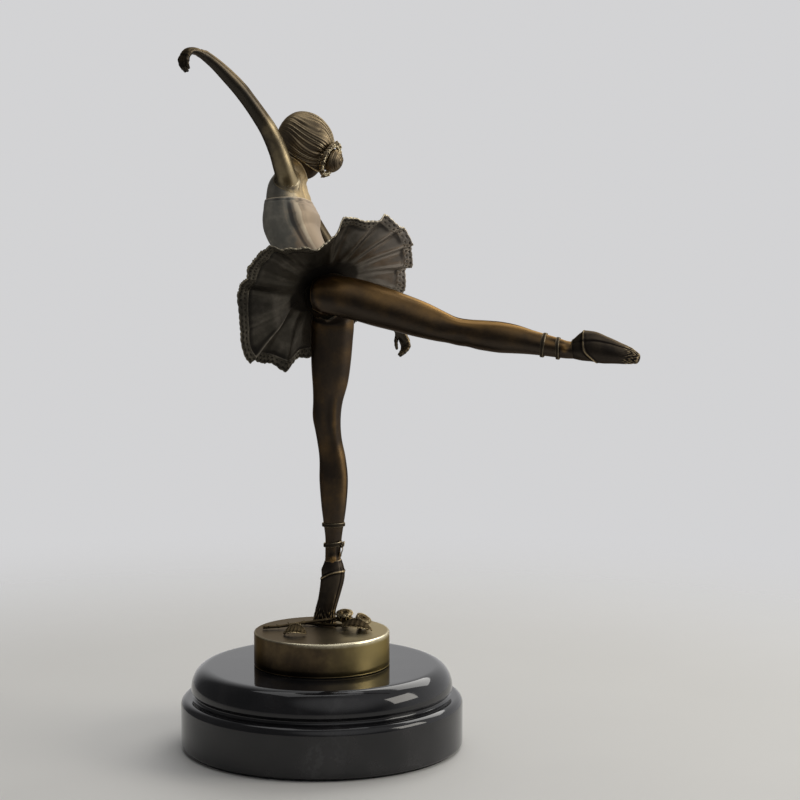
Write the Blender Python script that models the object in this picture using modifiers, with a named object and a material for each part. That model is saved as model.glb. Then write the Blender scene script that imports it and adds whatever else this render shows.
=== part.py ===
"""Cast bronze ballet dancer in arabesque, bolted to a turned marble base.

The figure is a set of castings that plug into one another: every limb ends in a tenon, seated in a
socket of its neighbour with a small fitting gap. Lengths are in millimetres and are brought to
metres when a mesh is made. The origin is the middle of the base's underside; +Z is up.
"""
import math

import bpy
import numpy as np

MM = 0.001
GAP = 0.3            # fitting gap between pieces that seat on one another

# ---- base and plinth --------------------------------------------------------------------------
BASE_R = 75.0        # marble drum
BASE_RIM = 4.0       # rounding of the drum's edge
DRUM_TOP = 27.5
COVE_R = 68.0        # waist between drum and dome
COVE_TOP = 31.0
DOME_R = 69.5
DOME_FLAT_R = 60.0
BASE_TOP = 44.0
FELT_R = 72.0
FELT_T = 1.2
PLINTH_R = 36.0
PLINTH_TOP = 62.2
PLINTH_WALL = 3.0
PLINTH_DECK = 4.0
BOSS_R = 8.0
STUD_R = 3.0
STUD_BOTTOM = 12.5
RECESS_R = 15.0      # counterbore for the nut, under the marble
RECESS_TOP = 24.0
WASHER_R = 10.0
WASHER_T = 1.4
SPRING_R = 6.2
SPRING_T = 1.5
NUT_FLATS = 10.0
NUT_T = 5.0

# ---- directions of the body -------------------------------------------------------------------
SKIRT_CENTRE = np.array([1.5, 5.0, 245.5])
SKIRT_UP = np.array([-0.35, 0.60, 0.72])
FACING = np.array([-0.92, 0.39, 0.0])
LEFT = np.array([-0.30, -0.85, 0.43])       # from her right shoulder towards her left one

# ---- limbs and trunk --------------------------------------------------------------------------
# A station is x, y, z, then half the thickness towards +side, -side, +front and -front, then the
# power of the outline: 2 is an ellipse, more is squarer. Side is the direction given with the limb,
# front is at right angles to it and to the limb's run (run x side).
STANDING_LEG = (
    (1.6, 20.0, 72.0, 3.6, 3.6, 3.6, 3.6, 2.0),
    (3.6, 20.0, 79.0, 4.2, 4.2, 4.0, 4.0, 2.0),
    (5.0, 20.0, 88.0, 4.4, 4.4, 4.4, 4.4, 2.0),
    (5.4, 20.0, 96.0, 3.9, 3.9, 4.2, 4.2, 2.0),
    (5.4, 20.0, 102.0, 3.8, 3.8, 4.0, 4.0, 2.0),
    (5.8, 20.0, 109.0, 4.2, 4.2, 4.4, 4.4, 2.0),
    (6.0, 20.0, 117.0, 5.2, 5.2, 5.4, 5.5, 2.0),
    (6.2, 20.0, 127.0, 6.2, 6.4, 6.4, 6.8, 2.0),
    (6.2, 19.7, 140.0, 6.8, 7.0, 7.2, 7.7, 2.0),
    (5.6, 19.2, 151.0, 6.5, 6.7, 6.9, 7.1, 2.0),
    (4.0, 18.5, 162.0, 6.2, 6.2, 6.5, 6.5, 2.0),
    (2.9, 17.8, 173.0, 6.8, 6.8, 7.3, 7.1, 2.2),
    (3.2, 17.0, 183.5, 7.6, 7.6, 8.1, 7.9, 2.1),
    (4.5, 16.0, 194.5, 8.8, 8.8, 9.6, 9.7, 2.0),
    (5.0, 15.0, 205.0, 9.6, 9.6, 10.6, 10.6, 2.0),
    (5.6, 13.8, 216.0, 10.0, 10.0, 11.0, 11.0, 2.0),
    (6.2, 12.0, 226.0, 9.8, 9.2, 11.0, 11.2, 2.0),
    (6.4, 9.0, 233.5, 7.4, 6.4, 8.6, 8.6, 2.0),
)
RAISED_LEG = (
    (152.0, -39.2, 213.2, 3.4, 3.4, 3.0, 3.0, 2.0),
    (143.0, -37.2, 214.2, 3.9, 3.9, 4.0, 4.0, 2.0),
    (134.0, -35.2, 214.8, 4.1, 4.1, 4.2, 4.4, 2.0),
    (127.0, -33.4, 215.0, 4.1, 4.1, 4.2, 4.6, 2.0),
    (121.8, -32.0, 215.9, 4.3, 4.3, 4.6, 5.0, 2.0),
    (115.0, -30.6, 217.2, 5.0, 5.0, 5.4, 5.5, 2.0),
    (108.0, -29.0, 218.5, 5.7, 5.7, 6.2, 6.2, 2.0),
    (100.5, -27.2, 219.9, 6.5, 6.5, 7.1, 7.3, 2.0),
    (92.5, -25.5, 221.0, 7.0, 7.0, 7.5, 8.1, 2.0),
    (84.5, -23.8, 221.9, 6.9, 6.9, 7.3, 7.8, 2.0),
    (77.0, -22.4, 222.9, 6.5, 6.5, 6.9, 6.9, 2.1),
    (69.5, -21.0, 224.0, 6.6, 6.6, 7.0, 6.8, 2.2),
    (62.0, -19.4, 225.8, 7.2, 7.2, 8.1, 7.9, 2.1),
    (52.0, -17.2, 229.2, 8.4, 8.4, 9.3, 9.3, 2.0),
    (41.5, -15.0, 232.5, 9.4, 9.4, 10.0, 10.0, 2.0),
    (31.0, -13.0, 235.6, 9.9, 9.9, 10.6, 10.6, 2.0),
    (20.5, -11.2, 238.5, 10.0, 10.0, 10.8, 10.6, 2.0),
    (10.5, -9.8, 240.8, 9.8, 9.8, 10.4, 10.6, 2.0),
    (2.5, -8.4, 241.8, 8.6, 8.6, 9.0, 9.4, 2.0),
    (-2.5, -6.6, 242.0, 6.6, 6.6, 6.8, 7.0, 2.0),
)
LEFT_ARM = (
    (-15.2, 12.5, 297.5, 4.6, 4.6, 4.8, 4.8, 2.0),
    (-17.8, 8.0, 302.0, 5.2, 5.2, 5.6, 5.6, 2.0),
    (-19.4, 5.0, 307.5, 5.0, 5.0, 5.4, 5.4, 2.0),
    (-22.0, 2.0, 316.0, 4.5, 4.5, 4.9, 4.9, 2.0),
    (-26.2, -2.0, 325.8, 4.2, 4.2, 4.5, 4.5, 2.0),
    (-31.0, -5.5, 333.7, 3.9, 3.9, 4.2, 4.2, 2.0),
    (-35.8, -9.0, 340.8, 3.7, 3.7, 4.0, 4.0, 2.0),
    (-41.0, -13.0, 347.8, 3.7, 3.7, 3.9, 3.9, 2.0),
    (-46.6, -17.0, 354.0, 3.3, 3.3, 3.6, 3.6, 2.0),
    (-52.0, -21.0, 359.4, 2.8, 2.8, 3.1, 3.1, 2.0),
    (-56.6, -24.2, 363.2, 2.3, 2.3, 2.7, 2.7, 2.0),
    (-59.6, -26.4, 365.0, 2.5, 2.5, 2.0, 2.0, 2.0),
)
RIGHT_ARM = (
    (-15.0, 30.5, 291.0, 4.4, 4.4, 4.8, 4.8, 2.0),
    (-13.4, 36.5, 288.6, 5.0, 5.0, 5.4, 5.4, 2.0),
    (-10.5, 41.5, 284.6, 4.7, 4.7, 5.1, 5.1, 2.0),
    (-6.0, 46.5, 277.5, 4.2, 4.2, 4.6, 4.6, 2.0),
    (1.0, 51.6, 266.5, 3.8, 3.8, 4.1, 4.1, 2.0),
    (8.8, 56.2, 254.8, 3.4, 3.4, 3.6, 3.6, 2.0),
    (15.4, 58.8, 246.8, 3.3, 3.3, 3.5, 3.6, 2.0),
    (22.4, 61.4, 239.0, 3.2, 3.2, 3.4, 3.4, 2.0),
    (29.2, 63.4, 231.6, 2.8, 2.8, 3.0, 3.1, 2.0),
    (35.0, 65.0, 225.2, 2.5, 2.5, 2.4, 2.4, 2.0),
    (37.8, 65.7, 221.2, 2.7, 2.7, 1.9, 1.9, 2.0),
)
PELVIS = (
    (8.6, -1.6, 232.4, 7.4, 7.4, 6.8, 7.6, 2.0),
    (7.0, -0.6, 235.4, 11.6, 11.6, 10.2, 11.6, 2.0),
    (4.6, 1.8, 239.8, 14.0, 14.0, 12.0, 13.2, 2.2),
    (2.2, 4.2, 244.4, 13.6, 13.6, 11.6, 11.8, 2.3),
)
BODICE = (
    (1.2, 5.5, 246.4, 13.6, 13.6, 11.6, 11.8, 2.3),
    (-3.4, 8.6, 253.6, 13.0, 13.0, 11.4, 11.2, 2.4),
    (-9.8, 12.4, 262.6, 13.6, 13.6, 12.6, 11.8, 2.6),
    (-14.2, 15.8, 270.8, 15.2, 15.2, 13.6, 12.6, 2.8),
    (-16.2, 18.0, 278.4, 16.6, 16.6, 14.8, 12.8, 2.8),
    (-17.0, 19.6, 284.6, 17.0, 17.0, 12.6, 12.0, 2.7),
    (-17.2, 20.4, 288.8, 17.0, 17.0, 10.5, 11.1, 2.6),
)
BUST = (
    (-16.8, 19.2, 281.6, 12.4, 12.4, 8.0, 8.4, 2.4),
    (-17.0, 19.9, 285.6, 14.6, 14.6, 9.4, 9.6, 2.4),
    (-17.2, 20.4, 289.0, 16.4, 16.4, 9.7, 10.4, 2.5),
    (-17.0, 21.0, 294.4, 17.0, 16.8, 8.2, 9.4, 2.4),
    (-16.0, 21.8, 299.4, 14.6, 14.2, 6.8, 7.8, 2.2),
    (-14.8, 22.6, 303.4, 9.2, 9.0, 6.0, 6.6, 2.0),
    (-13.8, 23.2, 307.4, 6.7, 6.7, 5.8, 6.2, 2.0),
    (-12.8, 23.8, 312.0, 6.2, 6.2, 5.8, 6.0, 2.0),
    (-11.8, 24.2, 316.0, 5.6, 5.6, 5.2, 5.4, 2.0),
)
# ---- shoes --------------------------------------------------------------------------------------
STANDING_SHOE = (
    (-0.2, 20.0, 63.4, 4.3, 4.3, 4.4, 4.0, 2.2),
    (1.0, 20.0, 69.0, 4.8, 4.8, 5.0, 4.8, 2.1),
    (2.8, 20.0, 75.0, 5.3, 5.3, 5.5, 5.4, 2.0),
    (4.2, 20.0, 81.0, 5.4, 5.4, 5.8, 5.9, 2.0),
    (5.6, 20.0, 87.0, 5.3, 5.3, 5.9, 6.7, 2.0),
    (6.0, 20.0, 91.6, 5.2, 5.2, 5.7, 7.0, 2.0),
    (5.6, 20.0, 96.2, 4.7, 4.7, 5.0, 5.3, 2.0),
)
RAISED_SHOE = (
    (161.6, -41.8, 211.2, 3.4, 3.4, 2.6, 2.6, 2.1),
    (157.0, -40.7, 212.6, 4.3, 4.3, 4.4, 4.4, 2.0),
    (152.0, -39.4, 213.6, 4.8, 4.8, 5.6, 5.4, 2.0),
    (146.0, -38.0, 214.8, 5.1, 5.1, 7.0, 6.6, 2.0),
    (140.0, -36.6, 215.4, 5.3, 5.3, 9.0, 6.6, 2.0),
    (134.6, -35.3, 215.2, 5.2, 5.2, 9.4, 6.0, 2.0),
    (130.0, -34.0, 215.2, 4.8, 4.8, 6.0, 5.4, 2.0),
)
KNOT = (
    (11.5, 19.4, 106.4, 1.2, 1.2, 0.5, 0.5, 2.0),
    (11.8, 19.2, 104.0, 1.7, 1.7, 0.9, 0.9, 2.0),
    (11.5, 18.9, 101.4, 1.2, 1.2, 0.5, 0.5, 2.0),
)
KNOT_TAILS = ((12.3, 17.2, 98.0), (12.2, 21.2, 98.6))
KNOT_TAIL_R = 0.55
SIDE_OF_STANDING = (0.0, -1.0, 0.0)
SIDE_OF_RAISED = (0.23, -0.97, 0.0)
TOE_PIN_R = 2.4
HIP_PIN_R = 3.2
STANDING_HIP_PIN = ((6.2, 12.6, 226.0), (6.0, 8.6, 235.4))
RAISED_HIP_PIN = ((14.0, -10.2, 240.2), (7.0, -5.6, 239.6))

# ---- hands: each digit is a path from the palm, then a fingertip radius --------------------------
LEFT_PALM = (
    (-58.2, -25.4, 364.2, 2.5, 2.5, 1.7, 1.7, 2.0),
    (-61.8, -27.6, 365.8, 3.4, 3.4, 1.8, 1.9, 2.2),
    (-64.8, -29.4, 365.8, 4.0, 4.0, 1.8, 1.9, 2.4),
    (-66.8, -30.8, 363.8, 3.8, 3.8, 1.5, 1.5, 2.4),
)
RIGHT_PALM = (
    (37.2, 65.6, 222.2, 2.5, 2.5, 1.7, 1.7, 2.0),
    (40.2, 66.4, 217.6, 3.2, 3.2, 1.8, 1.9, 2.2),
    (42.8, 67.0, 213.4, 3.8, 3.8, 1.8, 1.9, 2.4),
    (44.6, 67.4, 209.8, 3.6, 3.6, 1.5, 1.5, 2.4),
)
LEFT_PALM_SIDE = (0.60, -0.80, 0.0)      # across the palm
RIGHT_PALM_SIDE = (0.50, -0.76, 0.30)
LEFT_PALM_FACES = -1.0                   # which way the palm looks along its front vector
RIGHT_PALM_FACES = 1.0
FINGER_R = 1.25
FINGER_TIP_R = 0.85
# digit paths from the last palm station: across, along, towards the palm's face
FINGERS = (
    ((-2.8, -1.6, 0.0), (-3.2, 2.0, 0.8), (-3.2, 3.6, 3.0), (-2.9, 4.2, 5.4)),
    ((-0.9, -1.4, 0.0), (-1.0, 2.6, 1.0), (-0.9, 4.4, 3.6), (-0.8, 4.8, 6.4)),
    ((0.9, -1.4, 0.0), (1.1, 2.4, 1.2), (1.1, 4.0, 3.8), (0.9, 4.4, 6.4)),
    ((2.7, -1.8, 0.0), (3.1, 1.8, 1.0), (3.2, 3.2, 3.0), (3.0, 3.8, 5.0)),
)
THUMB = ((-2.4, -5.6, 0.8), (-3.4, -3.4, 2.4), (-3.2, -1.2, 4.0), (-2.6, 0.6, 5.2))

# ---- head ---------------------------------------------------------------------------------------
HEAD_CENTRE = np.array([-9.6, 25.0, 317.4])
HEAD_UP = np.array([-0.10, 0.04, 1.0])
SKULL = (13.2, 12.2, 17.0)       # half length, half width, half height of the skull's egg
HAIR_T = 1.5
HAIR_GAP = 0.6                   # the cap's facets and the skull's cross by up to 0.3
BUN_R = (5.4, 6.2, 6.4)
BUN_AT = (-16.2, 0.0, -8.8)      # from the head's centre, in head axes
GARLAND_R = 1.3

# ---- skirt --------------------------------------------------------------------------------------
SKIRT_T = 1.5
SKIRT_HUB_R = 6.8
SKIRT_FLAT_R = 15.5  # the skirt lies flat this far, between pelvis and bodice
WAIST_PIN_R = 6.0
WAIST_PIN_REACH = 5.0            # to each side of the skirt's plane
WAIST_CLEAR_R = 22.0             # reach of the space cleared for the skirt at the waist
WAIST_CLEAR_H = 15.0
PLEATS = 22
PLEAT_DEPTH = 0.9
LACE_W = 4.2
# stations round the lace's outer edge from the front, counter-clockwise seen from above:
# angle in degrees, radius, height over the skirt's plane
RIM = (
    (5.0, 50.8, 0.0), (24.0, 44.5, 8.0), (40.0, 43.5, 7.5), (54.0, 44.0, 6.0), (66.0, 45.5, 6.5),
    (76.0, 47.5, 6.5), (83.0, 47.0, -1.0), (92.0, 47.0, -4.0), (106.0, 46.5, -6.0),
    (118.0, 46.5, -6.0), (127.0, 49.5, 4.5), (140.0, 48.5, 0.0), (153.0, 51.5, 4.0),
    (168.0, 53.0, 2.0), (181.0, 52.5, -0.5), (194.0, 49.5, -2.6), (208.0, 45.5, -4.0),
    (222.0, 43.0, -7.0), (240.0, 37.5, -4.0), (262.0, 32.0, -6.0), (283.0, 37.0, -6.0),
    (304.0, 47.0, -6.5), (318.0, 50.5, -10.5), (331.0, 53.0, -11.5), (345.0, 55.5, -8.5),
    (355.0, 55.5, -5.0),
)

# ---- roses laid at the toe ------------------------------------------------------------------------
STEM_R = 0.8
LONG_STEM = ((-31.5, 1.5, 0.0), (-22.0, 3.0, 0.3), (-9.0, 6.5, 1.6), (3.0, 9.5, 2.4), (9.0, 11.5, 3.2))
SHORT_STEM = ((-12.0, 12.4, 0.0), (-3.0, 10.6, 0.0), (10.0, 3.0, 0.8), (20.0, 0.0, 2.6))
ROSES = (((12.6, 13.0, 5.6), (0.35, -0.55, 0.75), 4.9), ((22.6, 2.4, 4.8), (0.45, -0.35, 0.82), 4.6))
LEAVES = (((-18.5, -5.0, 1.6), (-10.5, -5.5, 1.2), 3.6), ((13.0, -4.5, 1.6), (21.0, -7.0, 1.2), 3.2))

SIDES = 14                       # round a limb
SHARP_FROM = math.radians(35)    # edges steeper than this shade as sharp
parts = bpy.data.collections.new("bronze_ballerina")
cutters = bpy.data.collections.new("cutters")


def clear_scene():
    for obj in list(bpy.data.objects):
        bpy.data.objects.remove(obj)
    for coll in (parts, cutters):
        bpy.context.scene.collection.children.link(coll)


def material(name, colour, roughness, metallic):
    mat = bpy.data.materials.new(name)
    mat.use_nodes = True
    shader = mat.node_tree.nodes["Principled BSDF"]
    shader.inputs["Base Color"].default_value = (*colour, 1.0)
    shader.inputs["Roughness"].default_value = roughness
    shader.inputs["Metallic"].default_value = metallic
    return mat


def unit(v):
    v = np.asarray(v, float)
    return v / np.linalg.norm(v)


# ---- making solids --------------------------------------------------------------------------------
def add_mesh(name, mesh, mat=None):
    """Put a mesh in the model, or among the cutters when it has no material."""
    obj = bpy.data.objects.new(name, mesh)
    if mat is None:
        cutters.objects.link(obj)
        obj.hide_render = True
        obj.display_type = "WIRE"
        return obj
    parts.objects.link(obj)
    mesh.materials.append(mat)
    mesh.shade_smooth()
    mesh.set_sharp_from_angle(angle=SHARP_FROM)
    return obj


def solid(name, points, faces, mat=None):
    """A closed mesh from points in mm, turned the right way out by the sign of its volume."""
    points = np.asarray(points, float)
    volume = sum(np.dot(points[f[0]], np.cross(points[f[i]], points[f[i + 1]]))
                 for f in faces for i in range(1, len(f) - 1))
    if volume < 0:
        faces = [f[::-1] for f in faces]
    mesh = bpy.data.meshes.new(name)
    mesh.from_pydata((points * MM).tolist(), [], [list(map(int, f)) for f in faces])
    mesh.update()
    return add_mesh(name, mesh, mat)


def tube_faces(rows, sides):
    """Quads between neighbouring rings, then a fan to each end's pole (the last two points)."""
    faces = [(i * sides + j, i * sides + (j + 1) % sides, (i + 1) * sides + (j + 1) % sides,
              (i + 1) * sides + j) for i in range(rows - 1) for j in range(sides)]
    first, last = rows * sides, rows * sides + 1
    faces += [(first, (j + 1) % sides, j) for j in range(sides)]
    end = (rows - 1) * sides
    faces += [(last, end + j, end + (j + 1) % sides) for j in range(sides)]
    return faces


def torus_faces(rows, sides):
    """Quads over a grid that closes on itself both ways."""
    return [(i * sides + j, i * sides + (j + 1) % sides,
             ((i + 1) % rows) * sides + (j + 1) % sides, ((i + 1) % rows) * sides + j)
            for i in range(rows) for j in range(sides)]


def spline(rows, count):
    """Catmull-Rom curve through the station rows, sampled count times."""
    rows = np.asarray(rows, float)
    ends = np.vstack([2 * rows[0] - rows[1], rows, 2 * rows[-1] - rows[-2]])
    t = np.linspace(0, len(rows) - 1, count)
    i = np.minimum(t.astype(int), len(rows) - 2)
    u = (t - i)[:, None]
    a, b, c, d = (ends[i + k] for k in range(4))
    return 0.5 * (2 * b + (c - a) * u + (2 * a - 5 * b + 4 * c - d) * u ** 2
                  + (3 * b - a - 3 * c + d) * u ** 3)


def frames(centre, side):
    """Unit tangent, side and front vectors along a centre line."""
    tangent = np.gradient(centre, axis=0)
    tangent /= np.linalg.norm(tangent, axis=1, keepdims=True)
    side = np.asarray(side, float) - (tangent @ np.asarray(side, float))[:, None] * tangent
    side /= np.linalg.norm(side, axis=1, keepdims=True)
    return tangent, side, np.cross(tangent, side)


def loft_points(rows, side, count, grow=0.0, bulge=0.35, sides=SIDES):
    """Rings through the stations, with a rounded end of its own at each end."""
    st = spline(rows, count)
    centre = st[:, :3]
    tangent, side, front = frames(centre, side)
    angle = 2 * math.pi * np.arange(sides) / sides
    cos, sin = np.cos(angle), np.sin(angle)
    rings = []

    def ring(i, shrink, shift):
        power = 2.0 / st[i, 7]
        across = np.where(cos > 0, st[i, 3], st[i, 4]) + grow
        along = np.where(sin > 0, st[i, 5], st[i, 6]) + grow
        x = across * np.sign(cos) * np.abs(cos) ** power * shrink
        y = along * np.sign(sin) * np.abs(sin) ** power * shrink
        return centre[i] + shift * tangent[i] + x[:, None] * side[i] + y[:, None] * front[i]

    first = min(st[0, 3:7]) * bulge + grow
    last = min(st[-1, 3:7]) * bulge + grow
    rings += [ring(0, math.cos(a), -first * math.sin(a)) for a in (1.1, 0.6)]
    rings += [ring(i, 1.0, 0.0) for i in range(count)]
    rings += [ring(-1, math.cos(a), last * math.sin(a)) for a in (0.6, 1.1)]
    poles = [centre[0] - first * tangent[0], centre[-1] + last * tangent[-1]]
    return np.vstack(rings + [poles]), len(rings)


def loft(name, rows, side, count, mat=None, **shape):
    """A solid lofted through stations, a cutter when it has no material."""
    sides = shape.get("sides", SIDES)
    points, rings = loft_points(rows, side, count, **shape)
    return solid(name, points, tube_faces(rings, sides), mat)


def cylinder(name, radius, bottom, top, mat=None, sides=48):
    """An upright cylinder on the Z axis, a cutter when it has no material."""
    bpy.ops.mesh.primitive_cylinder_add(vertices=sides, radius=radius * MM, depth=(top - bottom) * MM,
                                        location=(0.0, 0.0, (top + bottom) / 2 * MM))
    obj = bpy.context.object
    obj.name = name
    for coll in list(obj.users_collection):
        coll.objects.unlink(obj)
    if mat is None:
        cutters.objects.link(obj)
        obj.hide_render = True
        obj.display_type = "WIRE"
        return obj
    parts.objects.link(obj)
    obj.data.materials.append(mat)
    obj.data.shade_smooth()
    obj.data.set_sharp_from_angle(angle=SHARP_FROM)
    return obj


def peg(name, start, end, radius, mat=None, grow=0.0, sides=10):
    """A round pin between two points, longer by grow at both ends."""
    start, end = np.asarray(start, float), np.asarray(end, float)
    axis = unit(end - start)
    start, end = start - grow * axis, end + grow * axis
    hint = (0.0, 0.0, 1.0) if abs(axis[2]) < 0.8 else (1.0, 0.0, 0.0)
    r = radius + grow
    rows = [(*start, r, r, r, r, 2.0), (*end, r, r, r, r, 2.0)]
    return loft(name, rows, hint, 2, mat, bulge=0.0, sides=sides)


def boolean(obj, tool, operation):
    """Leave a live exact Boolean on the object."""
    mod = obj.modifiers.new(f"{operation.lower()} {tool.name}", "BOOLEAN")
    mod.operation = operation
    mod.solver = "EXACT"
    mod.object = tool


def cut(obj, tool):
    boolean(obj, tool, "DIFFERENCE")


def join(obj, tool):
    boolean(obj, tool, "UNION")


def pinned(name, piece, socketed, start, end, radius):
    """Give one piece a tenon and the other the socket that receives it."""
    join(piece, peg(f"{name}_tenon", start, end, radius))
    cut(socketed, peg(f"{name}_socket", start, end, radius, grow=GAP))


# ---- base, plinth and fixings ---------------------------------------------------------------------
def turned(name, profile, mat, steps=36):
    """Turn a closed (r, z) outline about Z; it is listed outwards over the top, then down and back."""
    mesh = bpy.data.meshes.new(name)
    points = [(r * MM, 0.0, z * MM) for r, z in profile]
    mesh.from_pydata(points, [(i, (i + 1) % len(points)) for i in range(len(points))], [])
    obj = add_mesh(name, mesh, mat)
    screw = obj.modifiers.new("turn", "SCREW")
    screw.axis = "Z"
    screw.steps = steps
    screw.render_steps = steps
    screw.use_merge_vertices = True
    screw.merge_threshold = 0.00005
    screw.use_smooth_shade = True
    return obj


def arc(cx, cz, rx, rz, start, end, count):
    """Points on an elliptic arc, angles in degrees from +r towards +z."""
    return [(cx + rx * math.cos(math.radians(a)), cz + rz * math.sin(math.radians(a)))
            for a in np.linspace(start, end, count)]


def build_base(marble, felt):
    """Marble drum, cove and dome in one turned outline, on a felt pad."""
    bottom = FELT_T + GAP
    dome_height = BASE_TOP - COVE_TOP - 1.0
    dome = arc(DOME_FLAT_R, COVE_TOP + 1.0, DOME_R - DOME_FLAT_R, dome_height, 90, 0, 5)
    cove = [(DOME_R - 0.4, COVE_TOP), (COVE_R, COVE_TOP - 1.2), (COVE_R + 0.4, DRUM_TOP + 0.9)]
    rim = arc(BASE_R - BASE_RIM, DRUM_TOP - BASE_RIM, BASE_RIM, BASE_RIM, 90, 0, 4)
    foot = [(BASE_R, bottom + 2.5), (BASE_R - 1.2, bottom)]
    recess = [(RECESS_R, bottom), (RECESS_R, RECESS_TOP), (STUD_R + GAP, RECESS_TOP)]
    turned("marble_base", [(STUD_R + GAP, BASE_TOP), *dome, *cove, *rim, *foot, *recess], marble)
    cylinder("felt_pad", FELT_R, 0.0, FELT_T, felt, sides=48)


def build_fixings(steel):
    """Stud, washers and nut that clamp the plinth down on the marble, from the base's recess."""
    stud_top = PLINTH_TOP - PLINTH_DECK - 2.0
    cylinder("mounting_stud", STUD_R, STUD_BOTTOM, stud_top, steel, sides=16)
    bore = cylinder("stud_bore", STUD_R + GAP, STUD_BOTTOM - 6.0, RECESS_TOP + 6.0, sides=16)
    seat = RECESS_TOP
    for name, radius, thickness, sides in (("flat_washer", WASHER_R, WASHER_T, 28),
                                           ("spring_washer", SPRING_R, SPRING_T, 24),
                                           ("hex_nut", NUT_FLATS / math.sqrt(3), NUT_T, 6)):
        seat -= GAP
        cut(cylinder(name, radius, seat - thickness, seat, steel, sides=sides), bore)
        seat -= thickness


def build_plinth(bronze):
    """A cup cast upside down: side wall, deck and a tapped boss under its middle."""
    bottom = BASE_TOP + GAP
    deck = PLINTH_TOP - PLINTH_DECK
    inside = PLINTH_R - PLINTH_WALL
    thread = STUD_R + GAP
    edge = arc(PLINTH_R - 1.3, PLINTH_TOP - 0.9, 1.0, 0.9, 90, 0, 3)
    skirt = [(PLINTH_R, bottom + 1.5), (PLINTH_R + 0.1, bottom), (inside, bottom), (inside, deck)]
    boss = [(BOSS_R, deck), (BOSS_R, bottom), (thread, bottom), (thread, deck - 1.6), (0.0, deck - 1.6)]
    obj = turned("bronze_plinth", [(0.0, PLINTH_TOP), *edge, *skirt, *boss], bronze)
    toe = STANDING_SHOE[0]
    cut(obj, peg("toe_socket", (toe[0], toe[1], deck - 4.0), (toe[0], toe[1], PLINTH_TOP + 2.0), TOE_PIN_R,
                 grow=GAP))


# ---- ribbons ----------------------------------------------------------------------------------------
def band(name, rows, side, at, width, thickness, mat, tilt=0.0, sides=16):
    """A flat ribbon wound once round a limb at station parameter at (0 to 1)."""
    st = spline(rows, 201)
    centre = st[:, :3]
    tangent, side, front = frames(centre, side)
    i = int(round(at * 200))
    angle = 2 * math.pi * np.arange(sides) / sides
    cos, sin = np.cos(angle), np.sin(angle)
    across = np.where(cos > 0, st[i, 3], st[i, 4])
    along = np.where(sin > 0, st[i, 5], st[i, 6])
    profile = ((GAP + 0.1, -width / 2), (GAP + 0.1, width / 2), (GAP + thickness, width / 2 - 0.2),
               (GAP + thickness + 0.15, 0.0), (GAP + thickness, -width / 2 + 0.2))
    rings = []
    for out, up in profile:
        lift = up + tilt * sin
        rings.append(centre[i] + ((across + out) * cos)[:, None] * side[i]
                     + ((along + out) * sin)[:, None] * front[i] + lift[:, None] * tangent[i])
    return solid(name, np.vstack(rings), torus_faces(len(profile), sides), mat)


def build_legs(skin, satin, ribbon):
    """Both legs with their pointe shoes, the ribbon wound over each ankle and the bow at the heel."""
    standing = loft("standing_leg", STANDING_LEG, SIDE_OF_STANDING, 22, skin)
    raised = loft("raised_leg", RAISED_LEG, SIDE_OF_RAISED, 24, skin)
    cut(standing, loft("raised_leg_clearance", RAISED_LEG, SIDE_OF_RAISED, 24, grow=GAP))

    shoe = loft("standing_shoe", STANDING_SHOE, SIDE_OF_STANDING, 10, satin, bulge=0.12)
    toe = STANDING_SHOE[0]
    join(shoe, peg("toe_tenon", (toe[0], toe[1], PLINTH_TOP - 3.0), (toe[0], toe[1], toe[2] + 3.0),
                   TOE_PIN_R))
    cut(shoe, loft("standing_foot_clearance", STANDING_LEG, SIDE_OF_STANDING, 22, grow=GAP))

    shoe = loft("raised_shoe", RAISED_SHOE, SIDE_OF_RAISED, 10, satin, bulge=0.5)
    cut(shoe, loft("raised_foot_clearance", RAISED_LEG, SIDE_OF_RAISED, 24, grow=GAP))

    band("standing_ribbon_upper", STANDING_LEG, SIDE_OF_STANDING, 0.345, 2.0, 0.6, ribbon)
    band("standing_ribbon_lower", STANDING_LEG, SIDE_OF_STANDING, 0.262, 2.2, 0.7, ribbon, tilt=0.8)
    band("raised_ribbon_upper", RAISED_LEG, SIDE_OF_RAISED, 0.262, 2.0, 0.6, ribbon)
    band("raised_ribbon_lower", RAISED_LEG, SIDE_OF_RAISED, 0.205, 1.8, 0.6, ribbon, tilt=0.6)
    knot = loft("ribbon_knot", KNOT, SIDE_OF_STANDING, 5, ribbon, sides=8, bulge=0.7)
    for k, end in enumerate(KNOT_TAILS):
        join(knot, peg(f"knot_tail_{k}", KNOT[1][:3], end, KNOT_TAIL_R, sides=6))
    return standing, raised


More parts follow.
